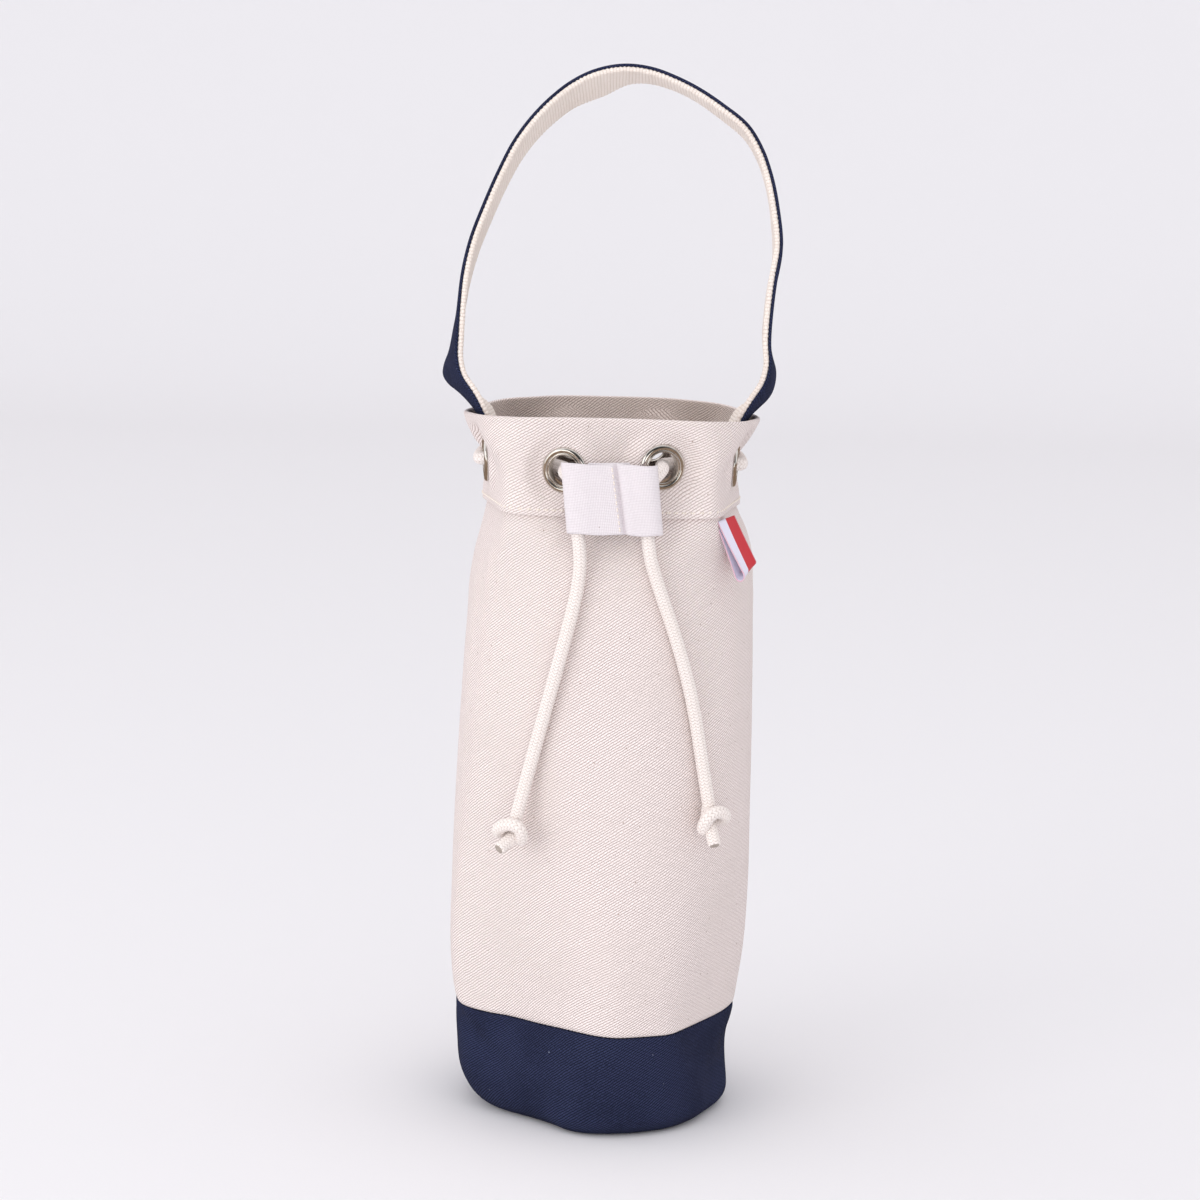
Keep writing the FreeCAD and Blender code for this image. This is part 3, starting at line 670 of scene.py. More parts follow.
def cotton_cord_finish():
    """Soft knitted cotton cord."""
    finish, kit, shader, place = new_finish("cotton_cord", 0.95, 0.25)
    knit = use_effect(kit, KNIT, place)
    mottle = use_effect(kit, MOTTLE, place, Fine=0.8)["Mottle"]
    # Grooves between the knitted loops darker: painted shade in the cord's recesses.
    colour = kit.mix(kit.spread(knit["Groove"], 0.3, 1.0), srgb(246, 237, 232), srgb(205, 189, 179))
    colour = kit.mix(kit.spread(mottle, 0.4, 0.8, 0.0, 0.4), colour, srgb(238, 227, 217))
    kit.join(colour, shader.inputs["Base Color"])
    relief(kit, shader, knit["Height"], 0.26)
    return finish


def cut_end_finish():
    """Cut end of the cord: loose yarn ends, mottled darker grey than the cord's side."""
    finish, kit, shader, place = new_finish("cord_cut_end", 0.98, 0.1)
    grain = kit.noise(place, 2.4, 3.0)
    kit.join(kit.mix(kit.spread(grain, 0.35, 0.65), srgb(150, 138, 128), srgb(206, 193, 182)),
             shader.inputs["Base Color"])
    relief(kit, shader, grain, 0.5)
    return finish


def nickel_finish():
    """Bright nickel with faint polishing marks and a softer patina in places."""
    finish, kit, shader, place = new_finish("nickel", 0.2)
    shader.inputs["Metallic"].default_value = 1.0
    shader.inputs["Specular IOR Level"].default_value = 0.5
    marks = kit.noise(place, 1.6, 4.0)
    patina = kit.noise(place, 0.35, 3.0)
    kit.join(kit.spread(patina, 0.3, 0.75, 0.07, 0.17), shader.inputs["Roughness"])
    kit.join(kit.mix(kit.spread(patina, 0.4, 0.8), srgb(214, 210, 204), srgb(186, 179, 169)),
             shader.inputs["Base Color"])
    relief(kit, shader, marks, 0.02, 0.15)
    return finish


def ribbon_finish():
    """Satin ribbon, half white and half red, with a woven edge."""
    finish, kit, shader, place = new_finish("ribbon", 0.55, 0.1)
    across, along = split_cloth(kit, place)
    stripe = kit.spread(across, 5.35, 5.65)
    ribs = kit.math("ABSOLUTE", kit.math("SINE", kit.math("MULTIPLY", along, math.pi / 0.45)))
    edge = kit.spread(kit.math("ABSOLUTE", kit.math("SUBTRACT", across, 6.0)), 5.5, 5.8)
    colour = kit.mix(stripe, srgb(232, 229, 246), srgb(200, 40, 52))
    colour = kit.mix(kit.math("MULTIPLY", edge, 0.6), colour, srgb(226, 150, 165))
    kit.join(colour, shader.inputs["Base Color"])
    relief(kit, shader, kit.math("ADD", ribs, kit.math("MULTIPLY", edge, 2.0)), 0.06)
    return finish


def thread_finish():
    """Sewing thread of two twisted plies."""
    finish, kit, shader, place = new_finish("sewing_thread", 0.75, 0.1)
    around, along = split_cloth(kit, place)
    twist = kit.math("SINE", kit.math("MULTIPLY_ADD", along, 6.0, kit.math("MULTIPLY", around, 4.0)))
    # Valleys between the twisted plies darker: painted shade.
    colour = kit.mix(kit.spread(twist, -1.0, 1.0), srgb(228, 214, 200), srgb(250, 243, 236))
    kit.join(colour, shader.inputs["Base Color"])
    relief(kit, shader, twist, 0.05)
    return finish


NATURAL = natural_canvas_finish()
SHADED_INSIDE = shaded_inside_canvas_finish()
NAVY = navy_canvas_finish()
STOP_CLOTH = stop_canvas_finish()
WEBBING = webbing_finish()
CORD = cotton_cord_finish()
CUT_END = cut_end_finish()
NICKEL = nickel_finish()
RIBBON = ribbon_finish()
THREAD = thread_finish()


def settle(piece, body, slot, *nodes):
    """A finished piece rides on its body and stands for its nodes; slot is not used."""
    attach(piece, body)
    if nodes:
        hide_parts(*nodes)
    return piece


# Bag cloth

DISC_SEAM = 8.0            # height that the bottom's seam allowance stands up to


def body_panel():
    """Natural canvas tube, turned in at the foot seam; its top lies behind the collar."""
    turned_in = [(0.5, -2.4), (0.15, -1.6), (0.3, -0.7), (1.1, -0.15)]
    path = [(FOOT_SEAM + over, lift) for over, lift in turned_in]
    path += [(height, 0.0) for height in rise(FOOT_SEAM + 2.4, RIM_HEIGHT - 1.3, 2.0)]
    panel = bag_cloth("body_panel_cloth", path, [NATURAL, SHADED_INSIDE], holes=True)
    settle(panel, "bag", "natural_canvas", "body_panel")


def collar_band():
    """Second layer round the mouth: a turned hem below and a fold over the rim."""
    hem_lift = 1.9
    fold = 0.9
    path = [(height, 0.05) for height in rise(HEM_HEIGHT + fold, HEM_HEIGHT + 4.4, 1.2)[::-1]]
    path += half_round(HEM_HEIGHT + fold, hem_lift / 2 + 0.1, fold, 180, 360)[1:]
    path += [(HEM_HEIGHT + over, lift) for over, lift in [(2.2, 1.75), (4.0, 1.75), (6.0, 1.55), (8.0, 1.25)]]
    path += [(height, COLLAR_LIFT) for height in rise(HEM_HEIGHT + 9.8, RIM_HEIGHT - 1.2, 1.3)]
    path += half_round(RIM_HEIGHT - 1.2, -0.1, 1.2, 0, 180)[1:]
    inside_from = len(path) - 3
    path += [(height, -1.3) for height in rise(RIM_HEIGHT - 10.2, RIM_HEIGHT - 2.4, 1.3)[::-1]]
    path.append((RIM_HEIGHT - 10.8, -1.05))
    collar = bag_cloth("collar_band_cloth", path, [NATURAL, SHADED_INSIDE], holes=True, inside_from=inside_from)
    settle(collar, "bag", "natural_canvas", "collar_band")


def base_band():
    """Navy foot band, turned in at both seams and rounded under."""
    under = 7.6
    path = [(3.0, -under - 1.0), (1.0, -under - 0.8)]
    path += half_round(under + 0.05, -under, under, 270, 360, 10)
    path += [(height, 0.0) for height in rise(9.5, FOOT_SEAM - 2.0, 1.8)]
    turned_in = [(0.9, -0.12), (0.25, -0.6), (0.1, -1.5), (0.4, -2.4)]
    path += [(FOOT_SEAM - below, lift) for below, lift in turned_in]
    band = bag_cloth("base_band_cloth", path, [NAVY])
    settle(band, "bag", "navy_canvas", "base_band")


def base_disc():
    """Navy bottom, drawn up a little at its seam."""
    azimuth = np.linspace(0, 360, COLUMNS, endpoint=False)
    edge = bag_place(azimuth, DISC_SEAM, -8.4)
    shares = np.linspace(0.02, 1.0, 22)
    rings = []
    for share in shares:
        ring = edge * share
        ring[:, 2] = 0.35 + 0.9 * ease(0.93, 1.0, share)
        rings.append(ring)
    rim = edge.copy()
    rim[:, 2] = DISC_SEAM
    rings.append(rim)
    places = np.array(rings)
    rows, columns = places.shape[:2]
    faces, _, _ = grid_faces(rows, columns)
    flat = places.reshape(-1, 3)
    faces = [face[::-1] for face in faces.tolist()]
    faces.append(list(range(columns)))
    cloth = np.concatenate([flat[face][:, :2] for face in faces])
    disc = thicken(new_piece("base_disc_cloth", flat, faces, cloth, NAVY), CANVAS)
    settle(disc, "bag", "navy_canvas", "base_disc")


# Thread

def stitch_row(name, places, outward, length, thickness=0.4):
    """Row of separate stitches, each from one needle hole towards the next, standing proud of the cloth."""
    sides = 6
    around = np.linspace(0, TURN, sides, endpoint=False)
    vertices = []
    faces = []
    cloth = []
    for place, following, normal in zip(places, places[1:], outward):
        run = following - place
        along = run / np.linalg.norm(run)
        side = np.cross(normal, along)
        first = len(vertices)
        marks = np.linspace(0, 1, 6)
        for mark in marks:
            bow = math.sin(math.pi * mark)
            centre = place + along * length * mark + normal * thickness * (bow - 0.55)
            radius = thickness * (0.35 + 0.65 * bow ** 0.5)
            for angle in around:
                vertices.append(centre + (side * math.cos(angle) + normal * math.sin(angle)) * radius)
        quads, row, column = grid_faces(len(marks), sides)
        faces += (quads + first).tolist()
        cloth += np.stack([column * 0.3, row * length / 5], -1).reshape(-1, 2).tolist()
        for ring in (list(range(sides))[::-1], list(range((len(marks) - 1) * sides, len(marks) * sides))):
            faces.append([first + index for index in ring])
            cloth += [[0.0, 0.0]] * sides
    return new_piece(name, np.array(vertices), faces, cloth, THREAD)


def row_round_bag(name, height, lift, pitch, length):
    """Topstitch row round the collar."""
    count = int(CLOTH_ROUND / pitch)
    azimuth = np.linspace(0, 360, count + 1)
    places = flat_at_eyelets(bag_place(azimuth, height, lift), np.full(count + 1, lift))
    outer = bag_place(azimuth, height, lift + 1.0)
    outward = outer - bag_place(azimuth, height, lift)
    return settle(stitch_row(name, places, outward, length), "bag", "natural_canvas")


# Eyelets

GRAIN_RADIUS = 7.0         # where the polishing marks are measured round an eyelet


def lathe_piece(name, profile, finish):
    """Closed ring turned from a closed profile of (radius, height)."""
    sides = 72
    angles = np.linspace(0, TURN, sides, endpoint=False)
    profile = np.array([*profile, profile[0]], float)
    radius = profile[:-1, :1]
    level = np.broadcast_to(profile[:-1, 1:], (len(profile) - 1, sides))
    places = np.stack([radius * np.cos(angles), radius * np.sin(angles), level], -1)
    faces, row_corners, column_corners = grid_faces(len(profile) - 1, sides, rows_closed=True)
    lengths = path_lengths(profile)
    cloth = np.stack([column_corners * TURN * GRAIN_RADIUS / sides, lengths[row_corners]], -1)
    return new_piece(name, places.reshape(-1, 3), faces, cloth.reshape(-1, 2), finish)


EYELET_PROFILE = [
    (6.55, 0.05), (8.9, 0.05), (9.05, 0.3), (9.0, 0.65), (8.75, 1.05), (8.35, 1.35), (7.9, 1.5),
    (7.45, 1.48), (7.1, 1.3), (6.92, 1.08), (6.82, 1.05), (6.72, 1.18), (6.5, 1.36), (6.25, 1.36),
    (6.05, 1.18), (5.93, 0.8), (5.9, 0.2), (5.9, -2.9), (6.0, -3.4), (6.35, -3.72), (6.9, -3.75),
    (7.35, -3.5), (7.5, -3.1), (7.3, -2.85), (6.55, -2.85),
]
WASHER_PROFILE = [
    (6.62, -2.3), (8.35, -2.2), (8.5, -2.4), (8.35, -2.65), (7.6, -2.8), (6.62, -2.8),
]


def eyelets():
    """Rolled eyelets and the rings behind them, seated square to the collar."""
    for name, profile in (("eyelet", EYELET_PROFILE), ("eyelet_washer", WASHER_PROFILE)):
        for number, (centre, outward, sideways, upward) in enumerate(SEATS):
            ring = lathe_piece(f"{name}_{number + 1}_turned", profile, NICKEL)
            turn = Matrix((sideways, upward, outward)).transposed().to_4x4()
            ring.matrix_world = Matrix.Translation(Vector(centre * MM)) @ turn
            settle(ring, "bag", "nickel", f"{name}_{number + 1}")


# Cord

def spline_line(route, spacing=0.6):
    """Close, even points along the smooth spline of a route."""
    curve = bpy.data.curves.new("route", "CURVE")
    curve.dimensions = "3D"
    spline = curve.splines.new("NURBS")
    spline.points.add(len(route) - 1)
    for point, place in zip(spline.points, route):
        point.co = (*[float(part) * MM for part in place], 1.0)
    spline.order_u = 3
    spline.use_endpoint_u = True
    spline.resolution_u = 24
    holder = bpy.data.objects.new("route", curve)
    mesh = bpy.data.meshes.new_from_object(holder)
    points = np.array([vertex.co for vertex in mesh.vertices]) / MM
    bpy.data.objects.remove(holder)
    bpy.data.curves.remove(curve)
    bpy.data.meshes.remove(mesh)
    return evenly(points, spacing)


def cord_tube(name, line, finish, radius=CORD_RADIUS, round_ends=(True, True)):
    """Round cord along close points, its ends rounded or cut square."""
    sides = 20
    lengths = path_lengths(line)
    tangent = np.gradient(line, axis=0)
    tangent = tangent / np.linalg.norm(tangent, axis=1, keepdims=True)
    side = np.cross(tangent[0], [0.0, 0.3, 1.0])
    rings = []
    angles = np.linspace(0, TURN, sides, endpoint=False)
    for centre, along, length in zip(line, tangent, lengths):
        side = side - along * (side @ along)
        side = side / np.linalg.norm(side)
        other = np.cross(along, side)
        girth = radius
        for rounded, away in zip(round_ends, (length, lengths[-1] - length)):
            reach, smallest = (radius, 0.12) if rounded else (0.5 * radius, 0.75)
            drawn_in = max(1 - away / reach, 0)
            girth *= smallest + (1 - smallest) * math.sqrt(1 - drawn_in ** 2)
        rings.append(centre + girth * (np.outer(np.cos(angles), side) + np.outer(np.sin(angles), other)))
    places = np.array(rings)
    faces, row_corners, column_corners = grid_faces(len(line), sides)
    across = np.linspace(0, TURN * radius, sides + 1)
    cloth = np.stack([across[column_corners], lengths[row_corners]], -1).reshape(-1, 2).tolist()
    faces = faces.tolist()
    last = (len(line) - 1) * sides
    for ring in (list(range(sides))[::-1], list(range(last, last + sides))):
        faces.append(ring)
        cloth += [[radius * math.cos(angle), radius * math.sin(angle)] for angle in angles]
    return new_piece(name, places.reshape(-1, 3), faces, cloth, finish)


# Routes of the two tails, the cut ends' directions, and the knots' path in a
# tail's own directions: sideways, outward from the bag, and on along the cord
LEFT_TAIL = [
    (-13.5, -61.55, 250.0), (-10.8, -61.55, 237.0), (-11.2, -59.6, 222.0), (-17.0, -59.4, 197.0),
    (-23.8, -57.9, 170.0), (-30.4, -56.4, 143.0), (-34.4, -56.6, 126.0),
]
RIGHT_TAIL = [
    (14.2, -61.55, 250.0), (14.6, -61.55, 237.0), (19.4, -58.0, 222.0), (27.5, -55.9, 200.0),
    (34.0, -52.6, 177.0), (39.0, -50.4, 149.0), (42.2, -51.4, 131.5),
]
LEFT_TIP = (-0.66, -0.58, -0.46)
RIGHT_TIP = (0.22, -0.52, -0.82)
KNOT_PATH = [
    (0, 0, -1.5), (0.2, -0.8, 2.0), (1.2, -1.6, 6.4), (4.0, -0.8, 8.8), (5.4, 1.4, 6.6), (4.4, 4.0, 3.0),
    (0.4, 5.0, 1.8), (-4.2, 4.2, 4.0), (-5.4, 0.8, 6.4), (-3.4, -2.4, 6.0), (0.8, -2.8, 4.6), (1.6, 0.8, 7.4),
]
TIP_LENGTH = 8.5
KNOT_OVERLAP = 3.5          # the tail's cord runs on into the knot


def tail(side, route, tip, mirror, slope):
    """Hanging cord with an overhand knot and its cut end; slope sets how the knot's turn lies."""
    body = f"tail_{side}"
    line = spline_line(route)
    cord = cord_tube(f"drawstring_tail_{side}_cord", line, CORD)
    settle(cord, body, "cotton_cord", f"drawstring_tail_{side}")
    along = line[-1] - line[-4]
    along = along / np.linalg.norm(along)
    outward = np.array([route[-1][0], route[-1][1], 0.0])
    outward = outward - along * (outward @ along)
    outward = outward / np.linalg.norm(outward)
    sideways = np.cross(outward, along) * mirror
    top = line[-1] - along * KNOT_OVERLAP
    path = [top + sideways * s + outward * n + along * (d - slope * s) for s, n, d in KNOT_PATH]
    heart = path[-1]
    tip = np.array(tip) / np.linalg.norm(tip)
    path += [heart + tip * TIP_LENGTH * share for share in (0.45, 0.75, 1.0)]
    knot = cord_tube(f"drawstring_knot_{side}_cord", spline_line(path, 0.45), CORD, round_ends=(True, False))
    knot.data.materials.append(CUT_END)
    knot.data.polygons[-1].material_index = 1
    settle(knot, body, "cotton_cord", f"drawstring_knot_{side}")


def lacing():
    """Cord through the eight eyelets: outside at the sides and the back, inside between."""
    inside = 7.5               # reach of the cord behind an eyelet, and how far it slants there
    slant = 3.2
    span_reach = 2.7           # reach outside the canvas at the sides and the back
    span_start = 9.5           # from an eyelet to where a span runs straight
    route = [np.array([-13.5, -61.55, 249.2]), np.array([-13.5, -61.8, 262.0])]
    for number, (centre, outward, sideways, _) in enumerate(SEATS):
        turn = 1 if number % 2 == 0 else -1
        front = number in (0, 7)
        reach, step = (4.6, 1.2) if front else (span_reach, 2.6)
        within = centre - outward * inside - sideways * turn * slant
        without = centre + outward * reach + sideways * turn * step
        crossing = [without, centre - outward + sideways * turn * 0.2, within]
        if not front:
            crossing.insert(0, centre + outward * span_reach + sideways * turn * span_start)
        route += crossing if turn > 0 else crossing[::-1]
    route += [np.array([14.2, -61.8, 262.0]), np.array([14.2, -61.55, 249.2])]
    cord = cord_tube("drawstring_lacing_cord", spline_line(route), CORD)
    settle(cord, "bag", "cotton_cord", "drawstring_lacing")


# Cord stop

STOP_OUTLINE = [
    (-18.5, 4.2), (-17.6, 6.6), (-15.0, 8.0), (-11.5, 8.5), (-6.5, 8.0), (-1.5, 7.2), (1.3, 6.5), (2.6, 5.0),
    (3.2, 6.6), (4.4, 7.7), (8.0, 8.2), (12.5, 8.5), (16.0, 7.9), (17.9, 6.4), (18.5, 4.2), (17.4, 1.4),
    (13.5, 0.3), (8.0, 0.3), (3.6, 1.9), (-1.0, 0.5), (-8.0, 0.2), (-14.0, 0.3), (-17.4, 1.4),
]
STOP_TOP_SHIFT = -0.8
STOP_BOTTOM_SHIFT = 2.1
STOP_NOTCH = 8.5
STOP_MIDDLE = 4.2          # middle of the sleeve's depth
STOP_GIRTH = 95.0          # cloth's length round the sleeve
STOP_STITCHES = 11


def closed_curve(points, count):
    """Smooth closed line through points, as evenly many places."""
    points = np.array(points, float)
    wrapped = np.concatenate([points[-3:], points, points[:3]])
    lengths = path_lengths(wrapped)
    start, end = lengths[3], lengths[3 + len(points)]
    marks = np.linspace(start, end, count, endpoint=False)
    lines = [np.column_stack([lengths, wrapped[:, axis]]) for axis in (0, 1)]
    return np.stack([smooth_through(line, marks) for line in lines], 1)


def cord_stop():
    """Flat folded sleeve with two channels; its back is cut away where the cord comes in."""
    outline = closed_curve(STOP_OUTLINE, 150)
    side, forward = outline[:, 0], outline[:, 1]
    shares = np.concatenate([[0.0, 0.012], np.linspace(0.04, 0.96, 26), [0.988, 1.0]])
    back = ease(3.4, 1.6, forward) * ease(8.0, 10.0, np.abs(side))
    top = STOP_TOP - STOP_NOTCH * back + 0.25 * np.sin(side * 0.3)
    bottom = STOP_BOTTOM + 0.6 - 0.9 * ease(3.0, 1.0, forward) + 0.2 * np.sin(side * 0.4 + 1.0)
    rows = []
    for share in shares:
        height = bottom + (top - bottom) * share
        shift = STOP_BOTTOM_SHIFT + (STOP_TOP_SHIFT - STOP_BOTTOM_SHIFT) * share
        tuck = 0.35 if share in (0.0, 1.0) else 0.0
        swell = 1 + 0.02 * math.sin(math.pi * share)
        depth = STOP_MIDDLE + (forward - STOP_MIDDLE) * (swell - tuck / STOP_MIDDLE)
        slant = 1.4 * (1 - share) * np.exp(-((side - 3.0) / 6) ** 2)
        rows.append(np.column_stack([side * (1 - tuck / 18) + shift + slant, STOP_BACK - depth, height]))
    across = np.append(path_lengths(outline), STOP_GIRTH)
    along = shares * (STOP_TOP - STOP_BOTTOM)
    sleeve = grid_piece("cord_stop_cloth", np.array(rows), across, along, STOP_CLOTH)
    thicken(sleeve, CANVAS)
    settle(sleeve, "cord_stop", "stop_canvas", "cord_stop_sleeve")
    heights = np.linspace(STOP_TOP - 1.2, STOP_BOTTOM + 1.2, STOP_STITCHES)
    shares = (heights - STOP_BOTTOM) / (STOP_TOP - STOP_BOTTOM)
    shift = STOP_BOTTOM_SHIFT + (STOP_TOP_SHIFT - STOP_BOTTOM_SHIFT) * shares
    front = np.full(STOP_STITCHES, STOP_BACK - 6.75)
    places = np.column_stack([0.9 + shift + 1.3 * (1 - shares), front, heights])
    outward = [np.array([0.1, -1.0, 0.0])] * STOP_STITCHES
    row = stitch_row("cord_stop_stitches", places, outward, 2.0, 0.3)
    settle(row, "cord_stop", "stop_canvas")


# Handle strap

# Front edge of the strap's outside in its leaning plane: sideways, height over the handle's axis
STRAP_LINE = [
    (-49.4, -28.3), (-51.8, -22.5), (-54.6, -16.2), (-57.6, -10.0), (-61.6, -2.0), (-62.9, 6.0),
    (-62.9, 15.7), (-62.6, 27.0), (-61.6, 40.6), (-58.7, 55.0), (-53.7, 69.6), (-47.6, 84.7),
    (-43.0, 94.4), (-36.3, 104.6), (-27.7, 114.2), (-20.8, 120.0), (-11.5, 125.2), (1.0, 128.0),
    (13.0, 126.8), (22.2, 123.6), (32.0, 118.8), (41.5, 112.6), (52.4, 103.6), (58.0, 94.4),
    (61.6, 84.7), (64.9, 69.6), (66.4, 55.0), (64.4, 40.6), (63.0, 27.0), (62.4, 15.7),
    (62.9, 6.0), (61.8, -2.0), (58.2, -10.0), (55.0, -16.2), (52.2, -22.5), (49.8, -28.3),
]
STRAP_LEAN = [(-30, 0), (-14, 0), (0, 1.2), (15, 4.2), (40, 10.6), (130, 33.6)]   # height, set-back
# Turn of the strap about its own line, in degrees, by share of its length: + shows the outside in front
STRAP_TWIST = [
    (0.0, 0), (0.035, 0), (0.06, 10), (0.085, 17), (0.115, 9), (0.14, 6), (0.17, 3), (0.22, 1),
    (0.30, 0), (0.42, -3), (0.465, -5), (0.50, 5), (0.54, 9), (0.60, 8), (0.72, 4), (0.78, 1),
    (0.83, 1), (0.86, 2), (0.885, 5), (0.91, 9), (0.935, 11), (0.965, 0), (1.0, 0),
]
ARCH_LEAN = math.radians(15)
FOOT_BOW = 2.4             # the strap's edges curve inward with the bag's wall at its feet
COVER_THICKNESS = 1.25
WEBBING_THICKNESS = 2.2


def strap_frames():
    """Middle of the strap's outside, its outward and widthways directions, lengths and bow."""
    line = np.array(STRAP_LINE)
    lengths = path_lengths(line)
    marks = np.linspace(0, lengths[-1], 420)
    side = smooth_through(np.column_stack([lengths, line[:, 0]]), marks)
    over = smooth_through(np.column_stack([lengths, line[:, 1]]), marks)
    back = smooth_through(STRAP_LEAN, over)
    points = np.column_stack([side, back, HANDLE_AXIS + over * math.cos(ARCH_LEAN)])
    along = np.gradient(points, axis=0)
    along = along / np.linalg.norm(along, axis=1, keepdims=True)
    tilt = ARCH_LEAN * ease(-12, 25, over)
    wide = np.column_stack([np.zeros(len(marks)), np.cos(tilt), -np.sin(tilt)])
    wide = wide - along * np.sum(wide * along, axis=1, keepdims=True)
    wide = wide / np.linalg.norm(wide, axis=1, keepdims=True)
    outward = np.cross(along, wide)
    outward = outward * np.sign(np.sum(outward * points * [1, 0, 0.2], axis=1, keepdims=True))
    twist = np.radians(smooth_through(STRAP_TWIST, marks / lengths[-1]))[:, None]
    turned = outward * np.cos(twist) - wide * np.sin(twist)
    wide = wide * np.cos(twist) + outward * np.sin(twist)
    points = points + wide * [1, 0, 1] * STRAP_WIDTH / 2
    bow = FOOT_BOW * (1 - ease(-14, 10, over))
    return points, turned, wide, path_lengths(points), bow


def rounded_section(width, thickness, count=9):
    """Section of a strap with round edges: (widthways, outward), outside at 0."""
    radius = thickness / 2
    half = width / 2 - radius
    flat = np.linspace(-half, half, count)
    turns = np.radians(np.linspace(90, -90, 9))[1:-1]
    section = [(w, 0.0) for w in flat]
    section += [(half + radius * math.cos(t), -radius + radius * math.sin(t)) for t in turns]
    section += [(w, -thickness) for w in flat[::-1]]
    section += [(-half - radius * math.cos(t), -radius + radius * math.sin(t)) for t in turns[::-1]]
    return np.array(section)


def strap_layer(name, drop, width, thickness, finish, rope):
    """One layer of the strap; rope is the height of the twisted ridges along its two edges."""
    points, outward, wide, lengths, bow = strap_frames()
    section = rounded_section(width, thickness)
    edge = ease(width / 2 - 1.6, width / 2 - 0.7, np.abs(section[:, 0]))
    swing = np.sin(lengths[:, None] * TURN / 1.9 + section[None, :, 1] * 1.6)
    swell = rope * edge[None, :] * swing
    across = section[None, :, 0] + swell * np.sign(section[None, :, 0])
    height = section[None, :, 1] - drop + 0.5 * swell * np.sign(section[None, :, 1] + thickness / 2)
    sag = 0.25 * np.cos(section[None, :, 0] * TURN / (2 * width)) * np.sin(lengths[:, None] * 0.11)
    sag = sag - bow[:, None] * (2 * section[None, :, 0] / width) ** 2
    places = (points[:, None, :] + wide[:, None, :] * across[..., None]
              + outward[:, None, :] * (height + sag)[..., None])
    around = path_lengths(np.vstack([section, section[:1]]))
    rows, columns = places.shape[:2]
    faces, row_corners, column_corners = grid_faces(rows, columns)
    cloth = np.stack([around[column_corners], lengths[row_corners]], -1).reshape(-1, 2).tolist()
    faces = [face[::-1] for face in faces.tolist()]
    cloth = np.array(cloth).reshape(-1, 4, 2)[:, ::-1].reshape(-1, 2).tolist()
    for ring in (list(range(columns)), list(range((rows - 1) * columns, rows * columns))[::-1]):
        faces.append(ring)
        cloth += [[around[index % columns], lengths[index // columns]] for index in ring]
    return new_piece(name, places.reshape(-1, 3), faces, cloth, finish)


def handle():
    """Navy cover outside and natural webbing inside, bending out of the bag's mouth."""
    cover = strap_layer("handle_cover_cloth", 0.0, STRAP_WIDTH - 0.6, COVER_THICKNESS, NAVY, 0.0)
    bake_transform(cover)
    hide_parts("handle_cover")
    webbing = strap_layer(
        "handle_webbing_strap", COVER_THICKNESS + 0.05, STRAP_WIDTH, WEBBING_THICKNESS, WEBBING, 0.22)
    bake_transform(webbing)
    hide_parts("handle_webbing", "handle_root_left", "handle_root_right")


# Ribbon tab

TAB_PLACE = 48.0           # azimuth of its middle
TAB_FACING = 51.0
TAB_WIDTH = 12.0
TAB_LENGTH = 23.0
TAB_LEAN = math.radians(29)
TAB_SKEW = (0.14, 0.5)     # rise across the ribbon, at the seam and at the fold
RIBBON_THICKNESS = 0.4


def label_tab():
    """Ribbon folded to a loop under the collar, open at its front edge."""
    hinge = bag_place(TAB_PLACE, HEM_HEIGHT - 1.3, 1.4)
    level = facing(TAB_FACING)
    along = np.array([-level[1], level[0], 0.0])
    down = level * math.sin(TAB_LEAN) - np.array([0, 0, math.cos(TAB_LEAN)])
    out = level * math.cos(TAB_LEAN) + np.array([0, 0, math.sin(TAB_LEAN)])
    columns = np.linspace(0, TAB_WIDTH, 17)
    gap = 1.9 - 0.9 * columns / TAB_WIDTH
    run = np.linspace(0, 1, 24)
    places = []
    cloth_along = []
    for share in run:
        reach = (TAB_LENGTH - gap) * share
        lift = 0.25 + (gap - 0.25) * share ** 1.4
        places.append((reach, lift))
        cloth_along.append(TAB_LENGTH * share)
    for angle in np.radians(np.linspace(75, -75, 11)):
        places.append((TAB_LENGTH - gap + gap * math.cos(angle), gap * math.sin(angle)))
        cloth_along.append(cloth_along[-1] + 0.5)
    for share in run[::-1]:
        reach = (TAB_LENGTH - gap) * share
        lift = -0.25 - (gap - 0.25) * share ** 1.4
        places.append((reach, lift))
        cloth_along.append(cloth_along[-1] + TAB_LENGTH / (len(run) - 1))
    side = columns - TAB_WIDTH / 2
    curl = 0.9 * (side / (TAB_WIDTH / 2)) ** 2
    grid = []
    for reach, lift in places:
        share = reach.mean() / TAB_LENGTH
        skew = side * (TAB_SKEW[0] + (TAB_SKEW[1] - TAB_SKEW[0]) * share)
        grid.append(hinge + down * (reach - skew)[:, None] + out * (lift + curl * share)[:, None]
                    + along * side[:, None])
    tab = grid_piece("label_tab_ribbon", np.array(grid), columns, cloth_along, RIBBON, closed=False)
    thicken(tab, RIBBON_THICKNESS)
    settle(tab, "label", "ribbon", "label_tab")


# Studio

FLOOR_BACK = 3000.0        # where the floor starts to sweep up, and the radius of that sweep
FLOOR_SWEEP = 1500.0
FLOOR_SIDE = 7000.0
CAMERA_PLACE = (-0.003, -1.2, 0.385)
CAMERA_PITCH = math.radians(8.4)    # downward
CAMERA_ROLL = math.radians(1.42)


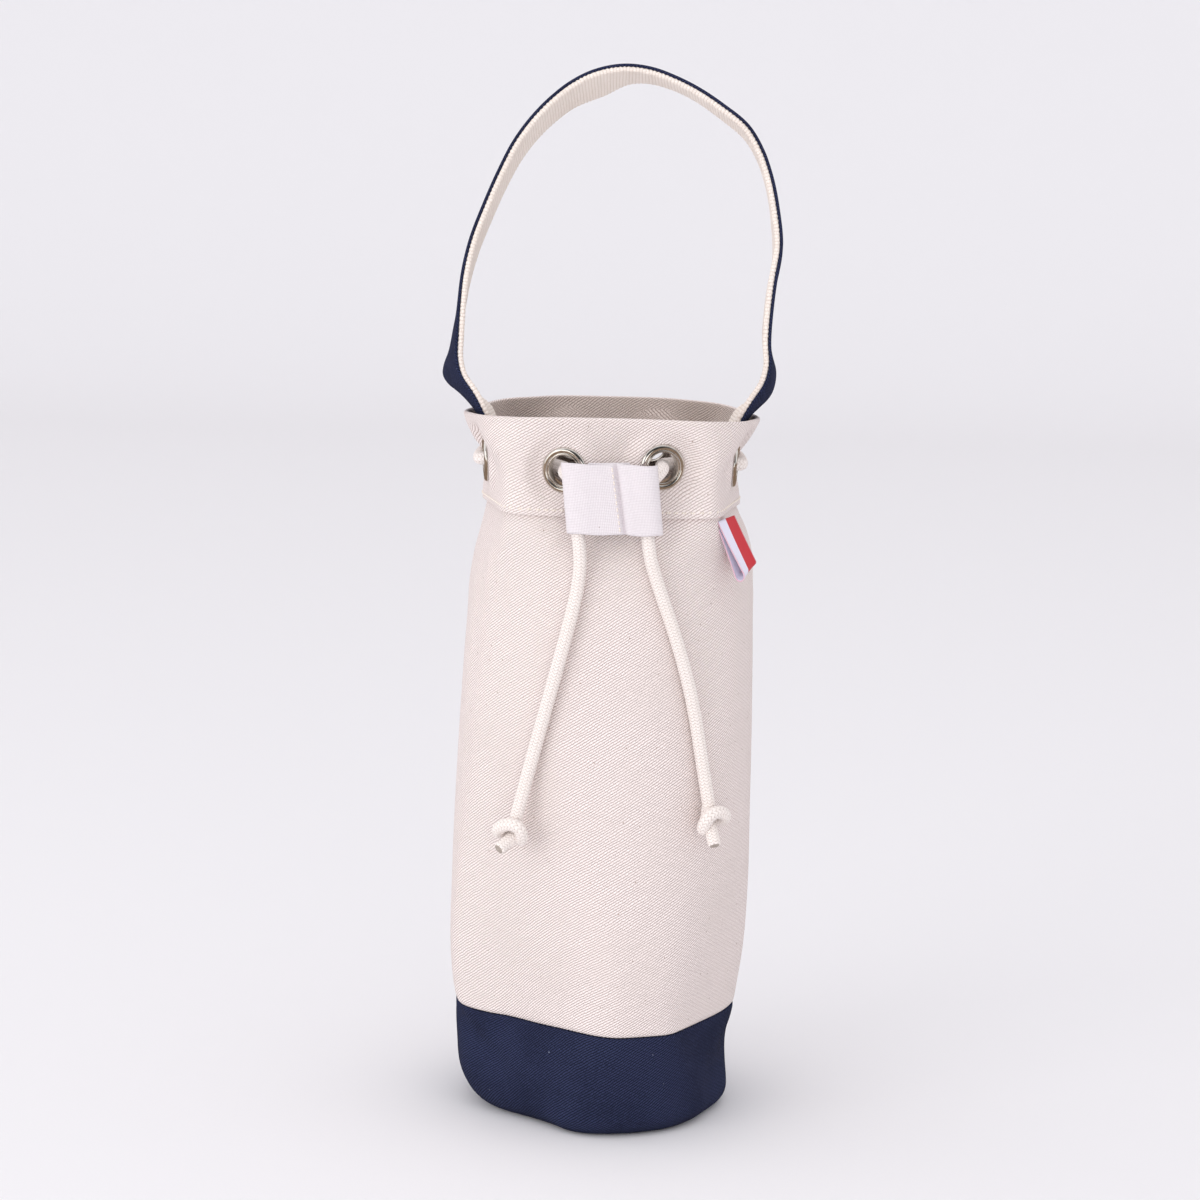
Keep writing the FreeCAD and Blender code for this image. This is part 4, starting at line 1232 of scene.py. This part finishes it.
def studio():
    """Pale floor that sweeps up far behind, soft lights, and the camera in front."""
    finish, kit, shader, place = new_finish("pale_floor", 0.7)
    grain = kit.noise(place, 0.9, 2.0)
    pale = kit.mix(grain, srgb(237, 236, 238), srgb(240, 239, 241))
    # Glossy rays see the floor warm brown while the camera sees it pale: a painted reflection.
    mirrored = kit.add("ShaderNodeLightPath").outputs["Is Glossy Ray"]
    kit.join(kit.mix(mirrored, pale, srgb(150, 128, 108)), shader.inputs["Base Color"])
    profile = [(-6000, 0.0), (FLOOR_BACK, 0.0)]
    for angle in np.radians(np.linspace(8, 90, 12)):
        level = FLOOR_BACK + FLOOR_SWEEP * math.sin(angle)
        profile.append((level, FLOOR_SWEEP - FLOOR_SWEEP * math.cos(angle)))
    profile.append((FLOOR_BACK + FLOOR_SWEEP, 5000))
    places = np.array([[(x, y, z) for x in (-FLOOR_SIDE, FLOOR_SIDE)] for y, z in profile])
    along = [y + z for y, z in profile]
    floor = grid_piece("studio_floor", places, [0, 2 * FLOOR_SIDE], along, finish, closed=False)

    world = bpy.data.worlds.new("soft_room")
    world.use_nodes = True
    sky = Nodes(world.node_tree)
    direction = sky.add("ShaderNodeTexCoord").outputs["Generated"]
    parts = sky.add("ShaderNodeSeparateXYZ")
    sky.join(direction, parts.inputs[0])
    leftward = sky.spread(parts.outputs[0], -1.0, 1.0, 1.17, 1.0)
    frontal = sky.spread(parts.outputs[1], -0.8, -0.15, 0.04, 1.1)
    mirrored = sky.add("ShaderNodeLightPath").outputs["Is Glossy Ray"]
    dimming = sky.math("MULTIPLY_ADD", mirrored, sky.math("SUBTRACT", frontal, 1.0), 1.0)
    backdrop = world.node_tree.nodes["Background"]
    backdrop.inputs[0].default_value = srgb(248, 247, 250)
    sky.join(sky.math("MULTIPLY", leftward, dimming), backdrop.inputs[1])
    bpy.context.scene.world = world

    lights = [
        ("key", (-1.5, -1.5, 0.7), 1.4, 11.0, (1.0, 0.99, 0.985)),
        ("fill", (0.3, -1.9, 0.15), 1.0, 6.0, (1.0, 0.985, 0.98)),
    ]
    for name, place, size, power, colour in lights:
        lamp = bpy.data.lights.new(name, "AREA")
        lamp.size = size
        lamp.energy = power
        lamp.color = colour
        holder = bpy.data.objects.new(name, lamp)
        holder.location = place
        holder.rotation_euler = (Vector((0, 0, 0.2)) - Vector(place)).to_track_quat("-Z", "Y").to_euler()
        bpy.context.scene.collection.objects.link(holder)

    camera = bpy.data.cameras.new("front")
    camera.lens = 90
    camera.sensor_width = 36
    holder = bpy.data.objects.new("front", camera)
    pitch = Matrix.Rotation(math.pi / 2 - CAMERA_PITCH, 4, "X")
    roll = Matrix.Rotation(CAMERA_ROLL, 4, "Z")
    holder.matrix_world = Matrix.Translation(CAMERA_PLACE) @ pitch @ roll
    bpy.context.scene.collection.objects.link(holder)
    bpy.context.scene.camera = holder
    bpy.context.scene.view_settings.view_transform = "Standard"


body_panel()
collar_band()
base_band()
base_disc()
row_round_bag("collar_hem_stitches", HEM_HEIGHT + 2.4, 1.75, 2.9, 2.3)
eyelets()
lacing()
tail("left", LEFT_TAIL, LEFT_TIP, 1, 0.25)
tail("right", RIGHT_TAIL, RIGHT_TIP, -1, 0.0)
cord_stop()
handle()
label_tab()
studio()
